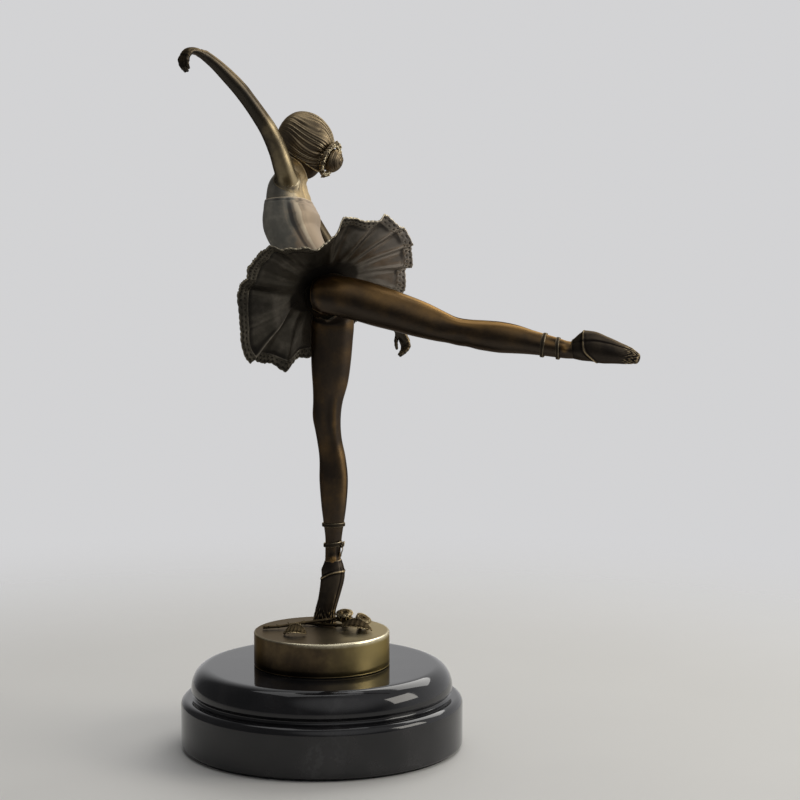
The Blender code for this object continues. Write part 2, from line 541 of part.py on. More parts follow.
# ---- trunk ------------------------------------------------------------------------------------------
def build_trunk(standing, raised, skin, cloth):
    """Pelvis, bodice and bust, clamped at the waist through the skirt, and the legs' tenons."""
    pelvis = loft("pelvis", PELVIS, LEFT, 8, cloth, sides=18)
    room = loft("pelvis_clearance", PELVIS, LEFT, 8, grow=GAP, sides=18)
    bodice = loft("bodice", BODICE, LEFT, 11, cloth, sides=20, bulge=0.06)
    bust = loft("bust", BUST, LEFT, 14, skin, sides=18)
    cut(bodice, loft("bust_clearance", BUST, LEFT, 14, grow=GAP, sides=18))
    for leg, name, (start, end) in ((standing, "standing_hip", STANDING_HIP_PIN),
                                    (raised, "raised_hip", RAISED_HIP_PIN)):
        cut(leg, room)
        pinned(name, leg, pelvis, start, end, HIP_PIN_R)
    up = skirt_axes()[2]
    half = SKIRT_T / 2 + GAP
    above = peg("above_pelvis", SKIRT_CENTRE - half * up, SKIRT_CENTRE + WAIST_CLEAR_H * up, WAIST_CLEAR_R)
    for piece in (pelvis, standing, raised):
        cut(piece, above)
    cut(bodice, peg("below_bodice", SKIRT_CENTRE - WAIST_CLEAR_H * up, SKIRT_CENTRE + half * up,
                    WAIST_CLEAR_R))
    reach = WAIST_PIN_REACH * up
    pinned("waist", bodice, pelvis, SKIRT_CENTRE - reach, SKIRT_CENTRE + reach, WAIST_PIN_R)
    return bodice, bust


def build_arms(bodice, bust, skin):
    """An arm, palm and five digits as one casting, seated in bust and bodice at the shoulder."""
    for name, rows, palm, side, faces in (
            ("left_arm", LEFT_ARM, LEFT_PALM, LEFT_PALM_SIDE, LEFT_PALM_FACES),
            ("right_arm", RIGHT_ARM, RIGHT_PALM, RIGHT_PALM_SIDE, RIGHT_PALM_FACES)):
        arm = loft(name, rows, side, 14, skin, sides=10)
        room = loft(f"{name}_clearance", rows, side, 14, grow=GAP, sides=10)
        cut(bust, room)
        cut(bodice, room)
        join(arm, loft(f"{name}_palm", palm, side, 4, sides=8))
        build_fingers(arm, name, palm, side, faces)


def build_fingers(arm, name, palm, side, faces):
    """Four fingers and a thumb, set out from the last station of the palm."""
    st = spline(palm, 10)
    along, across, front = (v[-1] for v in frames(st[:, :3], side))
    root = st[-1, :3]
    for k, path in enumerate((*FINGERS, THUMB)):
        points = [root + a * across + b * along + c * faces * front for a, b, c in path]
        radii = np.linspace(FINGER_R, FINGER_TIP_R, len(points))
        rows = [(*p, r, r, r, r, 2.0) for p, r in zip(points, radii)]
        join(arm, loft(f"{name}_digit_{k}", rows, side, 4, sides=6, bulge=0.9))


# ---- head -------------------------------------------------------------------------------------------
def head_axes():
    up = unit(HEAD_UP)
    front = unit(FACING - FACING.dot(up) * up)
    return front, np.cross(up, front), up


def bump(d, at, size, height):
    """Height of a soft swelling of the head at unit directions d."""
    at = unit(at)
    return height * np.exp(-((1.0 - d @ at) * 2.0) / size ** 2)


def head_radius(d):
    """Distance from the head's centre to its surface along unit directions d (front, left, up)."""
    x, y, z = d.T
    length, width, height = SKULL
    jaw = np.clip(-z, 0.0, 1.0)
    wide = width * (1.0 - 0.30 * jaw ** 2)
    long = np.where(x > 0, length * 0.98, length * (1.16 - 0.30 * jaw))
    r = 1.0 / np.sqrt((x / long) ** 2 + (y / wide) ** 2 + (z / height) ** 2)
    r += bump(d, (1.0, 0.0, -0.34), 0.13, 2.6)
    r += bump(d, (1.0, 0.0, -0.12), 0.10, 1.0)
    r += bump(d, (0.75, 0.0, -1.0), 0.22, 1.4)
    r += bump(d, (1.0, 0.0, -0.66), 0.10, 0.7)
    for s in (-1.0, 1.0):
        r -= bump(d, (1.0, s * 0.40, 0.0), 0.16, 1.3)
        r += bump(d, (1.0, s * 0.36, 0.20), 0.14, 0.5)
        r += bump(d, (0.10, s * 1.0, -0.16), 0.13, 1.2)
    return r


def build_head(skin, hair):
    """Head on the neck, hair cap, bun with its tenon, and the wreath round the bun."""
    front, left, up = head_axes()
    axes = np.array([front, left, up])

    def shell(name, extra, mat=None, rows=14, sides=18):
        polar = math.pi * (np.arange(1, rows + 1)) / (rows + 1)
        angle = 2 * math.pi * np.arange(sides) / sides
        d = np.array([(math.sin(p) * math.cos(a), math.sin(p) * math.sin(a), math.cos(p))
                      for p in polar for a in angle] + [(0.0, 0.0, 1.0), (0.0, 0.0, -1.0)])
        points = HEAD_CENTRE + (d * (head_radius(d) + extra)[:, None]) @ axes
        return solid(name, points, tube_faces(rows, sides), mat)

    head = shell("head", 0.0, skin)
    cut(head, loft("neck_clearance", BUST, LEFT, 14, grow=GAP, sides=18))

    cap = hair_cap("hair_cap", axes, hair)
    bun_at = HEAD_CENTRE + np.array(BUN_AT) @ axes
    back = unit(np.array(BUN_AT)) @ axes
    bun_rows = [(*(bun_at + t * BUN_R[0] * back), *(s * BUN_R[1],) * 2, *(s * BUN_R[2],) * 2, 2.0)
                for t, s in ((-0.95, 0.52), (-0.6, 0.8), (0.0, 1.0), (0.55, 0.84), (0.85, 0.52))]
    bun = loft("hair_bun", bun_rows, left, 7, hair, sides=14, bulge=0.3)
    room = shell("hair_clearance", HAIR_T + HAIR_GAP + GAP)
    cut(bun, room)
    pin_in = HEAD_CENTRE + 0.55 * np.array(BUN_AT) @ axes
    join(bun, peg("bun_tenon", pin_in, bun_at, 1.6))
    socket = peg("bun_socket", pin_in, bun_at, 1.6, grow=GAP)
    cut(head, socket)
    cut(cap, socket)

    ring_at = bun_at - 0.30 * BUN_R[0] * back
    across = left
    down = np.cross(back, across)
    count, sides = 30, 5
    turn = 2 * math.pi * np.arange(count) / count
    reach = BUN_R[2] + GAP + GARLAND_R + 0.5
    wave = 0.30 * np.cos(12 * turn)
    centre = (ring_at + (reach * np.cos(turn))[:, None] * across + (reach * np.sin(turn))[:, None] * down)
    out = unit_rows(centre - ring_at)
    angle = 2 * math.pi * np.arange(sides) / sides
    rings = [centre[i] + (GARLAND_R + wave[i]) * (np.cos(angle)[:, None] * out[i]
                                                  + np.sin(angle)[:, None] * back)
             for i in range(count)]
    garland = solid("hair_garland", np.vstack(rings), torus_faces(count, sides), hair)
    cut(garland, room)


def unit_rows(v):
    return v / np.linalg.norm(v, axis=1, keepdims=True)


def hair_cap(name, axes, mat, rows=6, sides=20):
    """A shell from the hairline back over the skull, thinning to an edge."""
    pole = unit((-0.72, 0.0, 0.62))
    ahead = unit(np.array([1.0, 0.0, 0.0]) - pole[0] * pole)
    beside = np.cross(pole, ahead)
    angle = 2 * math.pi * np.arange(sides) / sides
    reach = np.radians(97.0) + np.radians(-6.0) * np.cos(angle) - np.radians(10.0) * np.cos(2 * angle)
    outer, inner = [], []
    for k in range(1, rows + 1):
        t = k / rows
        polar = reach * t
        d = (np.cos(polar)[:, None] * pole + (np.sin(polar) * np.cos(angle))[:, None] * ahead
             + (np.sin(polar) * np.sin(angle))[:, None] * beside)
        thick = HAIR_T * min(1.0, 0.35 + 2.5 * (1.0 - t))
        outer.append(HEAD_CENTRE + (d * (head_radius(d) + HAIR_GAP + thick)[:, None]) @ axes)
        inner.append(HEAD_CENTRE + (d * (head_radius(d) + HAIR_GAP)[:, None]) @ axes)
    top = np.atleast_2d(pole)
    tops = [HEAD_CENTRE + (top * (head_radius(top) + HAIR_GAP + e)[:, None]) @ axes for e in (HAIR_T, 0.0)]
    points = np.vstack(outer + inner[::-1] + tops)
    return solid(name, points, tube_faces(2 * rows, sides), mat)


# ---- skirt ------------------------------------------------------------------------------------------
def skirt_axes():
    up = unit(SKIRT_UP)
    front = unit(FACING - FACING.dot(up) * up)
    return front, np.cross(up, front), up


def rim_at(angle):
    """Radius and height of the rim at angles in radians: a closed Catmull-Rom through RIM."""
    rows = np.array(RIM)
    turns = np.radians(np.concatenate([rows[-2:, 0] - 360, rows[:, 0], rows[:3, 0] + 360]))
    values = np.vstack([rows[-2:, 1:], rows[:, 1:], rows[:3, 1:]])
    i = np.clip(np.searchsorted(turns, angle, side="right") - 1, 1, len(turns) - 3)
    u = ((angle - turns[i]) / (turns[i + 1] - turns[i]))[:, None]
    a, b, c, d = (values[i + k] for k in (-1, 0, 1, 2))
    return 0.5 * (2 * b + (c - a) * u + (2 * a - 5 * b + 4 * c - d) * u ** 2
                  + (3 * b - a - 3 * c + d) * u ** 3)


def skirt_surface(radial, angle):
    """Mid surface of the skirt: radial 0 at the hub and 1 at the rim.

    The hub is flat as far as the waist reaches; beyond it the height grows to the rim's own height
    as reach^1.5, with pleats that deepen towards the rim.
    """
    front, left, up = skirt_axes()
    rim = rim_at(angle)
    seam = rim[:, 0] - LACE_W - GAP
    r = SKIRT_HUB_R + (seam - SKIRT_HUB_R) * radial
    reach = np.clip((r - SKIRT_FLAT_R) / (seam - SKIRT_FLAT_R), 0.0, None)
    h = rim[:, 1] * reach ** 1.5
    h = h + PLEAT_DEPTH * reach * np.cos(PLEATS * angle + 1.2 * np.sin(3 * angle))
    return (SKIRT_CENTRE + (r * np.cos(angle))[:, None] * front + (r * np.sin(angle))[:, None] * left
            + h[:, None] * up)


def build_skirt(cloth, lace):
    """The pleated skirt, a flat ring at the waist, and the scalloped lace border round its rim."""
    up = skirt_axes()[2]
    sides = PLEATS * 4
    angle = 2 * math.pi * np.arange(sides) / sides
    steps = (0.0, 0.28, 0.6, 1.0)
    half = SKIRT_T / 2
    top = [skirt_surface(t, angle) + (half - 0.25 * t) * up for t in steps]
    under = [skirt_surface(t, angle) - (half - 0.25 * t) * up for t in reversed(steps)]
    skirt = solid("tutu_skirt", np.vstack(top + under), torus_faces(2 * len(steps), sides), cloth)

    rim = rim_at(angle)[:, 0]
    span = rim - LACE_W - GAP - SKIRT_HUB_R
    inner = 1.0 + (GAP + 0.1) / span.mean()
    outer = inner + LACE_W / span.mean()
    scallop = 0.25 * (1 + np.cos(2 * PLEATS * angle))[:, None] * unit_rows(skirt_surface(1.0, angle)
                                                                         - SKIRT_CENTRE)
    edges = [skirt_surface(inner, angle) + 0.5 * up, skirt_surface(outer, angle) + 0.4 * up + scallop,
             skirt_surface(outer, angle) - 0.4 * up + scallop, skirt_surface(inner, angle) - 0.5 * up]
    solid("lace_edge", np.vstack(edges), torus_faces(4, sides), lace)


# ---- roses ------------------------------------------------------------------------------------------
def build_roses(bronze):
    """Two rose stems, two open blooms and two leaves lying on the plinth's deck."""
    deck = PLINTH_TOP + GAP
    for name, path in (("rose_stem_long", LONG_STEM), ("rose_stem_short", SHORT_STEM)):
        rows = [(x, y, deck + STEM_R + 0.1 + z, *(STEM_R,) * 4, 2.0) for x, y, z in path]
        loft(name, rows, (0.0, 1.0, 0.0), 9, bronze, sides=6, bulge=0.8)
    for k, (at, axis, radius) in enumerate(ROSES):
        bloom(f"rose_bloom_{k + 1}", np.array(at) + (0, 0, PLINTH_TOP), unit(axis), radius, bronze)
    for k, (start, end, width) in enumerate(LEAVES):
        leaf(f"rose_leaf_{k + 1}", np.array(start) + (0, 0, PLINTH_TOP), np.array(end)
             + (0, 0, PLINTH_TOP), width, bronze)


def bloom(name, at, axis, radius, mat, rows=9, sides=15):
    """An open rose: an outline that climbs the outside and sinks to the heart, ruffled by five petals."""
    side = unit(np.cross(axis, (0.3, 0.9, 0.1)))
    other = np.cross(axis, side)
    angle = 2 * math.pi * np.arange(sides) / sides
    t = np.linspace(0.0, 1.0, rows)
    reach = radius * np.where(t < 0.6, np.sin(math.pi / 2 * np.clip(t / 0.6, 0.08, 1.0)), 1.0)
    reach = np.where(t < 0.6, reach, radius * (1.0 - 0.92 * (t - 0.6) / 0.4))
    lift = radius * np.where(t < 0.6, -0.8 + 1.5 * t / 0.6, 0.7 - 0.55 * (t - 0.6) / 0.4)
    rings = []
    for k in range(rows):
        ruffle = 1.0 + 0.09 * t[k] * np.cos(5 * angle + 3.0 * t[k])
        climb = 0.10 * radius * np.cos(5 * angle + 9.0 * t[k]) * t[k]
        rings.append(at + (reach[k] * ruffle * np.cos(angle))[:, None] * side
                     + (reach[k] * ruffle * np.sin(angle))[:, None] * other
                     + (lift[k] + climb)[:, None] * axis)
    poles = [at - 0.86 * radius * axis, at + 0.12 * radius * axis]
    return solid(name, np.vstack(rings + [poles]), tube_faces(rows, sides), mat)


def leaf(name, start, end, width, mat, rows=7, sides=8):
    """A pointed leaf: flat lens sections, arched along its length."""
    t = (np.arange(rows) + 0.5) / rows
    spine = start + t[:, None] * (end - start) + (1.2 * np.sin(math.pi * t))[:, None] * (0, 0, 1)
    across = unit(np.cross(end - start, (0.0, 0.0, 1.0)))
    angle = 2 * math.pi * np.arange(sides) / sides
    half = width * np.sin(math.pi * t) ** 0.8 * (1.0 + 0.10 * np.cos(8 * math.pi * t))
    rings = [spine[k] + (half[k] * np.cos(angle))[:, None] * across
             + (0.45 * np.sin(angle) + 0.25 * abs(np.cos(angle)) * half[k] / width)[:, None]
             * np.array([0.0, 0.0, 1.0]) for k in range(rows)]
    return solid(name, np.vstack(rings + [[start, end]]), tube_faces(rows, sides), mat)


def build():
    clear_scene()
    bronze = material("bronze", (0.20, 0.13, 0.06), 0.38, 1.0)
    skin = material("bronze_skin", (0.24, 0.15, 0.06), 0.34, 1.0)
    cloth = material("bronze_dress", (0.10, 0.08, 0.06), 0.42, 1.0)
    lace = material("bronze_lace", (0.26, 0.20, 0.11), 0.45, 1.0)
    satin = material("bronze_shoe", (0.14, 0.10, 0.06), 0.36, 1.0)
    hair = material("bronze_hair", (0.20, 0.14, 0.06), 0.40, 1.0)
    marble = material("marble", (0.03, 0.03, 0.032), 0.08, 0.0)
    felt = material("felt", (0.02, 0.02, 0.02), 0.95, 0.0)
    steel = material("steel", (0.55, 0.55, 0.56), 0.30, 1.0)
    build_base(marble, felt)
    build_fixings(steel)
    build_plinth(bronze)
    standing, raised = build_legs(skin, satin, lace)
    bodice, bust = build_trunk(standing, raised, skin, cloth)
    build_arms(bodice, bust, skin)
    build_head(skin, hair)
    build_skirt(cloth, lace)
    build_roses(bronze)


build()
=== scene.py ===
"""Ballet dancer in arabesque, cast in bronze and bolted to a turned marble base.

Every casting is a surface worked out with numpy. Lengths are in millimetres until a mesh is made;
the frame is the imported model's, with its origin under the middle of the base and +Z up.
"""
import math

import bpy
import mathutils
import numpy as np
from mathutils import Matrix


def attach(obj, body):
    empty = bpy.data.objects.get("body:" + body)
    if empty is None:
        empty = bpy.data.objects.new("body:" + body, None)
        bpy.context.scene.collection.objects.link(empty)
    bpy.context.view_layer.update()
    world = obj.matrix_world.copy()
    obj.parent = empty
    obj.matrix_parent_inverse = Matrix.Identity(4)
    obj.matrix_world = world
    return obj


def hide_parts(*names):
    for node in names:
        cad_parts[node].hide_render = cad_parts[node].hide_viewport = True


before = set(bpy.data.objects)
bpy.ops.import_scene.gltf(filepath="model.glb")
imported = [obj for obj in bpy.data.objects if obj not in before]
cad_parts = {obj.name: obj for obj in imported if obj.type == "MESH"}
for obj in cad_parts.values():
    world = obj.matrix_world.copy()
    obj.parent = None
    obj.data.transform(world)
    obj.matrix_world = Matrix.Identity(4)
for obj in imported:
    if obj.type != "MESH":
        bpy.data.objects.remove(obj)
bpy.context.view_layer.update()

MM = 0.001
FLOOR_R = 0.70                      # metres
EYE, EYE_TILT, LENS = (0.0416, -1.2, 0.321), 83.55, 103.32   # camera: metres, degrees from straight down, mm
ROOM_DIM, ROOM_PALE = (0.105, 0.105, 0.108), (0.65, 0.65, 0.66)
EDGE_TINT = (0.42, 0.38, 0.33)      # how much a bronze still mirrors at a glancing angle
TURN = 2 * math.pi

# ---- base ----------------------------------------------------------------------------------------
BASE_R, BASE_RIM, DRUM_TOP, COVE_TOP = 75.0, 4.0, 27.5, 31.0
DOME_R, DOME_FLAT_R, BASE_TOP, FELT_T = 69.5, 60.0, 44.0, 1.2
PLINTH_R, PLINTH_TOP, PLINTH_WALL, PLINTH_DECK = 36.0, 62.2, 3.0, 4.0
STUD_R, RECESS_R, RECESS_TOP, GAP = 3.0, 15.0, 24.0, 0.3

# ---- directions ----------------------------------------------------------------------------------
SKIRT_CENTRE = np.array([1.5, 5.0, 245.5])
SKIRT_UP = np.array([-0.35, 0.60, 0.72])
FACING = np.array([-0.92, 0.39, 0.0])
LEFT = np.array([-0.30, -0.85, 0.43])
SIDE_OF_STANDING = (0.0, -1.0, 0.0)
SIDE_OF_RAISED = (0.23, -0.97, 0.0)
RIDGE_AT = 57.0                     # degrees from the spine to the ridge under the armpit
BLEND = 4.0                         # how wide limbs and trunk flow into one another
BOW_AT = np.array([10.3, 19.2, 104.6])
TAPE_T, RIBBON_T = 0.45, 0.75       # thickness of the bow's tape and of the wound ribbon

# ---- stations --------------------------------------------------------------------------------------
# x, y, z, then half thickness towards +side, -side, +front, -front, and the power of the outline;
# a short row, x, y, z, side, front, is the same both ways and round
STANDING_LEG = (
    (1.6, 20.0, 72.0, 3.6, 3.6), (3.6, 20.0, 79.0, 4.2, 4.0), (5.0, 20.0, 88.0, 4.4, 4.4),
    (5.4, 20.0, 96.0, 3.9, 4.2), (5.4, 20.0, 102.0, 3.8, 4.0), (5.8, 20.0, 109.0, 4.2, 4.4),
    (6.0, 20.0, 117.0, 5.2, 5.2, 5.4, 5.5, 2.0), (6.2, 20.0, 127.0, 6.2, 6.4, 6.4, 6.8, 2.0),
    (6.2, 19.7, 140.0, 6.8, 7.0, 7.2, 7.7, 2.0), (5.6, 19.2, 151.0, 6.5, 6.7, 6.9, 7.1, 2.0),
    (4.0, 18.5, 162.0, 6.2, 6.5), (2.9, 17.8, 173.0, 6.8, 6.8, 7.3, 7.1, 2.2),
    (3.2, 17.0, 183.5, 7.6, 7.6, 8.1, 7.9, 2.1), (4.5, 16.0, 194.5, 8.8, 8.8, 9.6, 9.7, 2.0),
    (5.0, 15.0, 205.0, 9.6, 10.6), (5.6, 13.8, 216.0, 10.0, 11.0),
    (6.2, 12.0, 226.0, 9.8, 9.2, 11.0, 11.2, 2.0), (6.4, 9.0, 233.5, 7.4, 6.4, 8.6, 8.6, 2.0))
RAISED_LEG = (
    (152.0, -39.2, 213.2, 3.4, 3.0), (143.0, -37.2, 214.2, 3.9, 4.0),
    (134.0, -35.2, 214.8, 4.1, 4.1, 4.2, 4.4, 2.0), (127.0, -33.4, 215.0, 4.1, 4.1, 4.2, 4.6, 2.0),
    (121.8, -32.0, 215.9, 4.3, 4.3, 4.6, 5.0, 2.0), (115.0, -30.6, 217.2, 5.0, 5.0, 5.4, 5.5, 2.0),
    (108.0, -29.0, 218.5, 5.7, 6.2), (100.5, -27.2, 219.9, 6.5, 6.5, 7.1, 7.3, 2.0),
    (92.5, -25.5, 221.0, 7.0, 7.0, 7.5, 8.1, 2.0), (84.5, -23.8, 221.9, 6.9, 6.9, 7.3, 7.8, 2.0),
    (77.0, -22.4, 222.9, 6.5, 6.5, 6.9, 6.9, 2.1), (69.5, -21.0, 224.0, 6.6, 6.6, 7.0, 6.8, 2.2),
    (62.0, -19.4, 225.8, 7.2, 7.2, 8.1, 7.9, 2.1), (52.0, -17.2, 229.2, 8.4, 9.3),
    (41.5, -15.0, 232.5, 9.4, 10.0), (31.0, -13.0, 235.6, 9.9, 10.6),
    (20.5, -11.2, 238.5, 10.0, 10.0, 10.8, 10.6, 2.0), (10.5, -9.8, 240.8, 9.8, 9.8, 10.4, 10.6, 2.0),
    (2.5, -8.4, 241.8, 8.6, 8.6, 9.0, 9.4, 2.0), (-2.5, -6.6, 242.0, 6.6, 6.6, 6.8, 7.0, 2.0))
LEFT_ARM = (
    (-15.2, 12.5, 297.5, 4.6, 4.8), (-17.8, 8.0, 302.0, 5.2, 5.6), (-19.4, 5.0, 307.5, 5.0, 5.4),
    (-22.0, 2.0, 316.0, 4.5, 4.9), (-26.2, -2.0, 325.8, 4.2, 4.5), (-31.0, -5.5, 333.7, 3.9, 4.2),
    (-35.8, -9.0, 340.8, 3.7, 4.0), (-41.0, -13.0, 347.8, 3.7, 3.9), (-46.6, -17.0, 354.0, 3.3, 3.6),
    (-52.0, -21.0, 359.4, 2.8, 3.1), (-56.6, -24.2, 363.2, 2.3, 2.7), (-59.6, -26.4, 365.0, 2.5, 2.0))
RIGHT_ARM = (
    (-15.0, 30.5, 291.0, 4.4, 4.8), (-13.4, 36.5, 288.6, 5.0, 5.4), (-10.5, 41.5, 284.6, 4.7, 5.1),
    (-6.0, 46.5, 277.5, 4.2, 4.6), (1.0, 51.6, 266.5, 3.8, 4.1), (8.8, 56.2, 254.8, 3.4, 3.6),
    (15.4, 58.8, 246.8, 3.3, 3.3, 3.5, 3.6, 2.0), (22.4, 61.4, 239.0, 3.2, 3.4),
    (29.2, 63.4, 231.6, 2.8, 2.8, 3.0, 3.1, 2.0), (35.0, 65.0, 225.2, 2.5, 2.4),
    (37.8, 65.7, 221.2, 2.7, 1.9))
PELVIS = (
    (8.6, -1.2, 232.4, 7.0, 7.4, 6.8, 7.6, 2.0), (7.0, -0.4, 235.4, 11.0, 11.6, 10.2, 11.6, 2.0),
    (4.6, 1.8, 239.8, 13.4, 14.0, 12.0, 13.2, 2.2), (2.2, 4.2, 244.4, 13.4, 13.6, 11.6, 11.8, 2.3))
BODICE = (
    (1.2, 5.5, 246.4, 13.6, 13.6, 11.6, 11.8, 2.3), (-3.4, 8.6, 253.6, 13.0, 13.0, 11.4, 11.2, 2.4),
    (-9.8, 12.4, 262.6, 13.6, 13.6, 12.6, 11.8, 2.6), (-14.2, 15.8, 270.8, 15.2, 15.2, 13.6, 12.6, 2.8),
    (-16.2, 18.0, 278.4, 16.6, 16.6, 14.8, 12.8, 2.8),
    (-17.0, 19.6, 284.6, 17.0, 17.0, 12.6, 12.0, 2.7),
    (-17.2, 20.4, 288.8, 17.0, 17.0, 10.5, 11.1, 2.6))
BUST = (
    (-16.8, 19.2, 281.6, 12.4, 12.4, 8.0, 8.4, 2.4), (-17.0, 19.9, 285.6, 14.6, 14.6, 9.4, 9.6, 2.4),
    (-17.2, 20.4, 289.0, 16.4, 16.4, 9.7, 10.4, 2.5), (-17.0, 21.0, 294.4, 17.0, 16.8, 8.2, 9.4, 2.4),
    (-16.0, 21.8, 299.4, 14.6, 14.2, 6.8, 7.8, 2.2), (-14.8, 22.6, 303.4, 9.2, 9.0, 6.0, 6.6, 2.0),
    (-13.8, 23.2, 307.4, 6.7, 6.7, 5.8, 6.2, 2.0), (-12.8, 23.8, 312.0, 6.2, 6.2, 5.8, 6.0, 2.0),
    (-11.8, 24.2, 316.0, 5.6, 5.6, 5.2, 5.4, 2.0))
STANDING_SHOE = (
    (0.4, 20.0, 62.9, 5.4, 5.4, 6.4, 5.6, 2.2), (1.2, 20.0, 69.0, 5.2, 5.2, 5.6, 5.2, 2.1),
    (2.8, 20.0, 75.0, 5.3, 5.3, 5.5, 5.4, 2.0), (4.2, 20.0, 81.0, 5.4, 5.4, 5.8, 5.9, 2.0),
    (5.6, 20.0, 87.0, 5.3, 5.3, 5.9, 6.7, 2.0), (6.0, 20.0, 91.6, 5.2, 5.2, 5.7, 7.0, 2.0),
    (5.6, 20.0, 96.2, 4.5, 4.5, 4.8, 5.0, 2.0))
RAISED_SHOE = (
    (161.6, -41.8, 211.2, 3.4, 3.4, 2.6, 2.6, 2.1), (157.0, -40.7, 212.6, 4.3, 4.4),
    (152.0, -39.4, 213.6, 4.8, 4.8, 5.6, 5.4, 2.0), (146.0, -38.0, 214.8, 5.1, 5.1, 7.0, 6.6, 2.0),
    (140.0, -36.6, 215.4, 5.3, 5.3, 9.0, 6.6, 2.0), (134.6, -35.3, 215.2, 5.2, 5.2, 9.4, 6.0, 2.0),
    (130.0, -34.0, 215.2, 4.6, 4.6, 5.6, 5.1, 2.0))
LEFT_PALM = (
    (-58.2, -25.4, 364.2, 2.5, 1.7), (-61.8, -27.6, 365.8, 3.4, 3.4, 1.8, 1.9, 2.2),
    (-64.8, -29.4, 365.8, 4.0, 4.0, 1.8, 1.9, 2.4), (-66.8, -30.8, 363.8, 3.8, 3.8, 1.5, 1.5, 2.4))
RIGHT_PALM = (
    (37.2, 65.6, 222.2, 2.5, 1.7), (40.2, 66.4, 217.6, 3.2, 3.2, 1.8, 1.9, 2.2),
    (42.8, 67.0, 213.4, 3.8, 3.8, 1.8, 1.9, 2.4), (44.6, 67.4, 209.8, 3.6, 3.6, 1.5, 1.5, 2.4))
LEFT_PALM_SIDE = (0.60, -0.80, 0.0)
RIGHT_PALM_SIDE = (0.50, -0.76, 0.30)
LEFT_PALM_FACES, RIGHT_PALM_FACES = -1.0, 1.0
# digit paths from the last palm station: across, along, towards the palm's face
FINGERS = (
    ((-2.8, -1.6, 0.0), (-3.2, 2.0, 0.8), (-3.2, 3.6, 3.0), (-2.9, 4.2, 5.4)),
    ((-0.9, -1.4, 0.0), (-1.0, 2.6, 1.0), (-0.9, 4.4, 3.6), (-0.8, 4.8, 6.4)),
    ((0.9, -1.4, 0.0), (1.1, 2.4, 1.2), (1.1, 4.0, 3.8), (0.9, 4.4, 6.4)),
    ((2.7, -1.8, 0.0), (3.1, 1.8, 1.0), (3.2, 3.2, 3.0), (3.0, 3.8, 5.0)))
THUMB = ((-2.4, -5.6, 0.8), (-3.4, -3.4, 2.4), (-3.2, -1.2, 4.0), (-2.6, 0.6, 5.2))

# ---- head ----------------------------------------------------------------------------------------
HEAD_CENTRE = np.array([-9.6, 25.0, 317.4])
HEAD_UP = np.array([-0.10, 0.04, 1.0])
SKULL = (13.2, 12.2, 17.0)
BUN_R = (5.4, 6.2, 6.4)
BUN_AT = np.array([-16.2, 0.0, -8.8])
STRANDS, BLOSSOMS = 3, 11           # of the wreath round the bun

# ---- skirt: rim stations are angle, radius, height over the skirt's plane ------------------------
SKIRT_HUB_R, SKIRT_FLAT_R, SKIRT_T, LACE_W = 6.8, 15.5, 1.3, 4.2
RIM = (
    (5.0, 50.8, 0.0), (24.0, 44.5, 8.0), (40.0, 43.5, 7.5), (54.0, 44.0, 6.0), (66.0, 45.5, 6.5),
    (76.0, 47.5, 6.5), (83.0, 47.0, -1.0), (92.0, 47.0, -4.0), (106.0, 46.5, -6.0),
    (118.0, 46.5, -6.0), (127.0, 49.5, 4.5), (140.0, 48.5, 0.0), (153.0, 51.5, 4.0),
    (168.0, 53.0, 2.0), (181.0, 52.5, -0.5), (194.0, 49.5, -2.6), (208.0, 45.5, -4.0),
    (222.0, 43.0, -7.0), (240.0, 37.5, -4.0), (262.0, 32.0, -6.0), (283.0, 37.0, -6.0),
    (304.0, 47.0, -6.5), (318.0, 50.5, -10.5), (331.0, 53.0, -11.5), (345.0, 55.5, -8.5),
    (355.0, 55.5, -5.0))
# folds of the skirt: rim angle, width in degrees, height (minus swells below), bend towards the hub
FOLDS = (
    (8.0, 8.0, -1.2, 6.0), (24.0, 8.0, 1.6, 4.0), (40.0, 7.0, -1.4, 3.0), (56.0, 8.0, 1.6, 0.0),
    (72.0, 8.0, -1.6, -4.0), (88.0, 7.0, 1.8, -6.0), (103.0, 7.0, -1.8, -5.0), (117.0, 6.0, 2.2, -6.0),
    (128.0, 5.0, -2.8, -6.0), (138.0, 6.0, 2.8, -8.0), (149.0, 5.5, -2.2, -8.0),
    (158.0, 4.5, 1.5, -9.0), (166.0, 5.0, -1.7, -9.0), (173.0, 4.5, 1.9, -9.0), (180.5, 4.5, -2.1, -9.0),
    (189.0, 5.0, 1.7, -8.0), (197.0, 5.0, -1.7, -7.0), (206.0, 5.0, 1.5, -6.0), (215.0, 6.0, -1.5, -6.0),
    (226.0, 5.0, 1.0, 0.0), (242.0, 7.0, -0.9, 0.0), (258.0, 7.0, 0.9, 0.0), (276.0, 7.0, -0.9, 0.0),
    (292.0, 6.0, 1.2, 4.0), (303.0, 6.0, -1.8, 6.0), (314.0, 5.0, 1.8, 8.0), (325.0, 5.0, -2.2, 10.0),
    (335.0, 5.0, 1.6, 12.0))
TUCK_ANGLE, TUCK_BEND, TUCK_HEIGHT = 348.0, 10.0, 8.0     # the one deep tuck, at the lower left

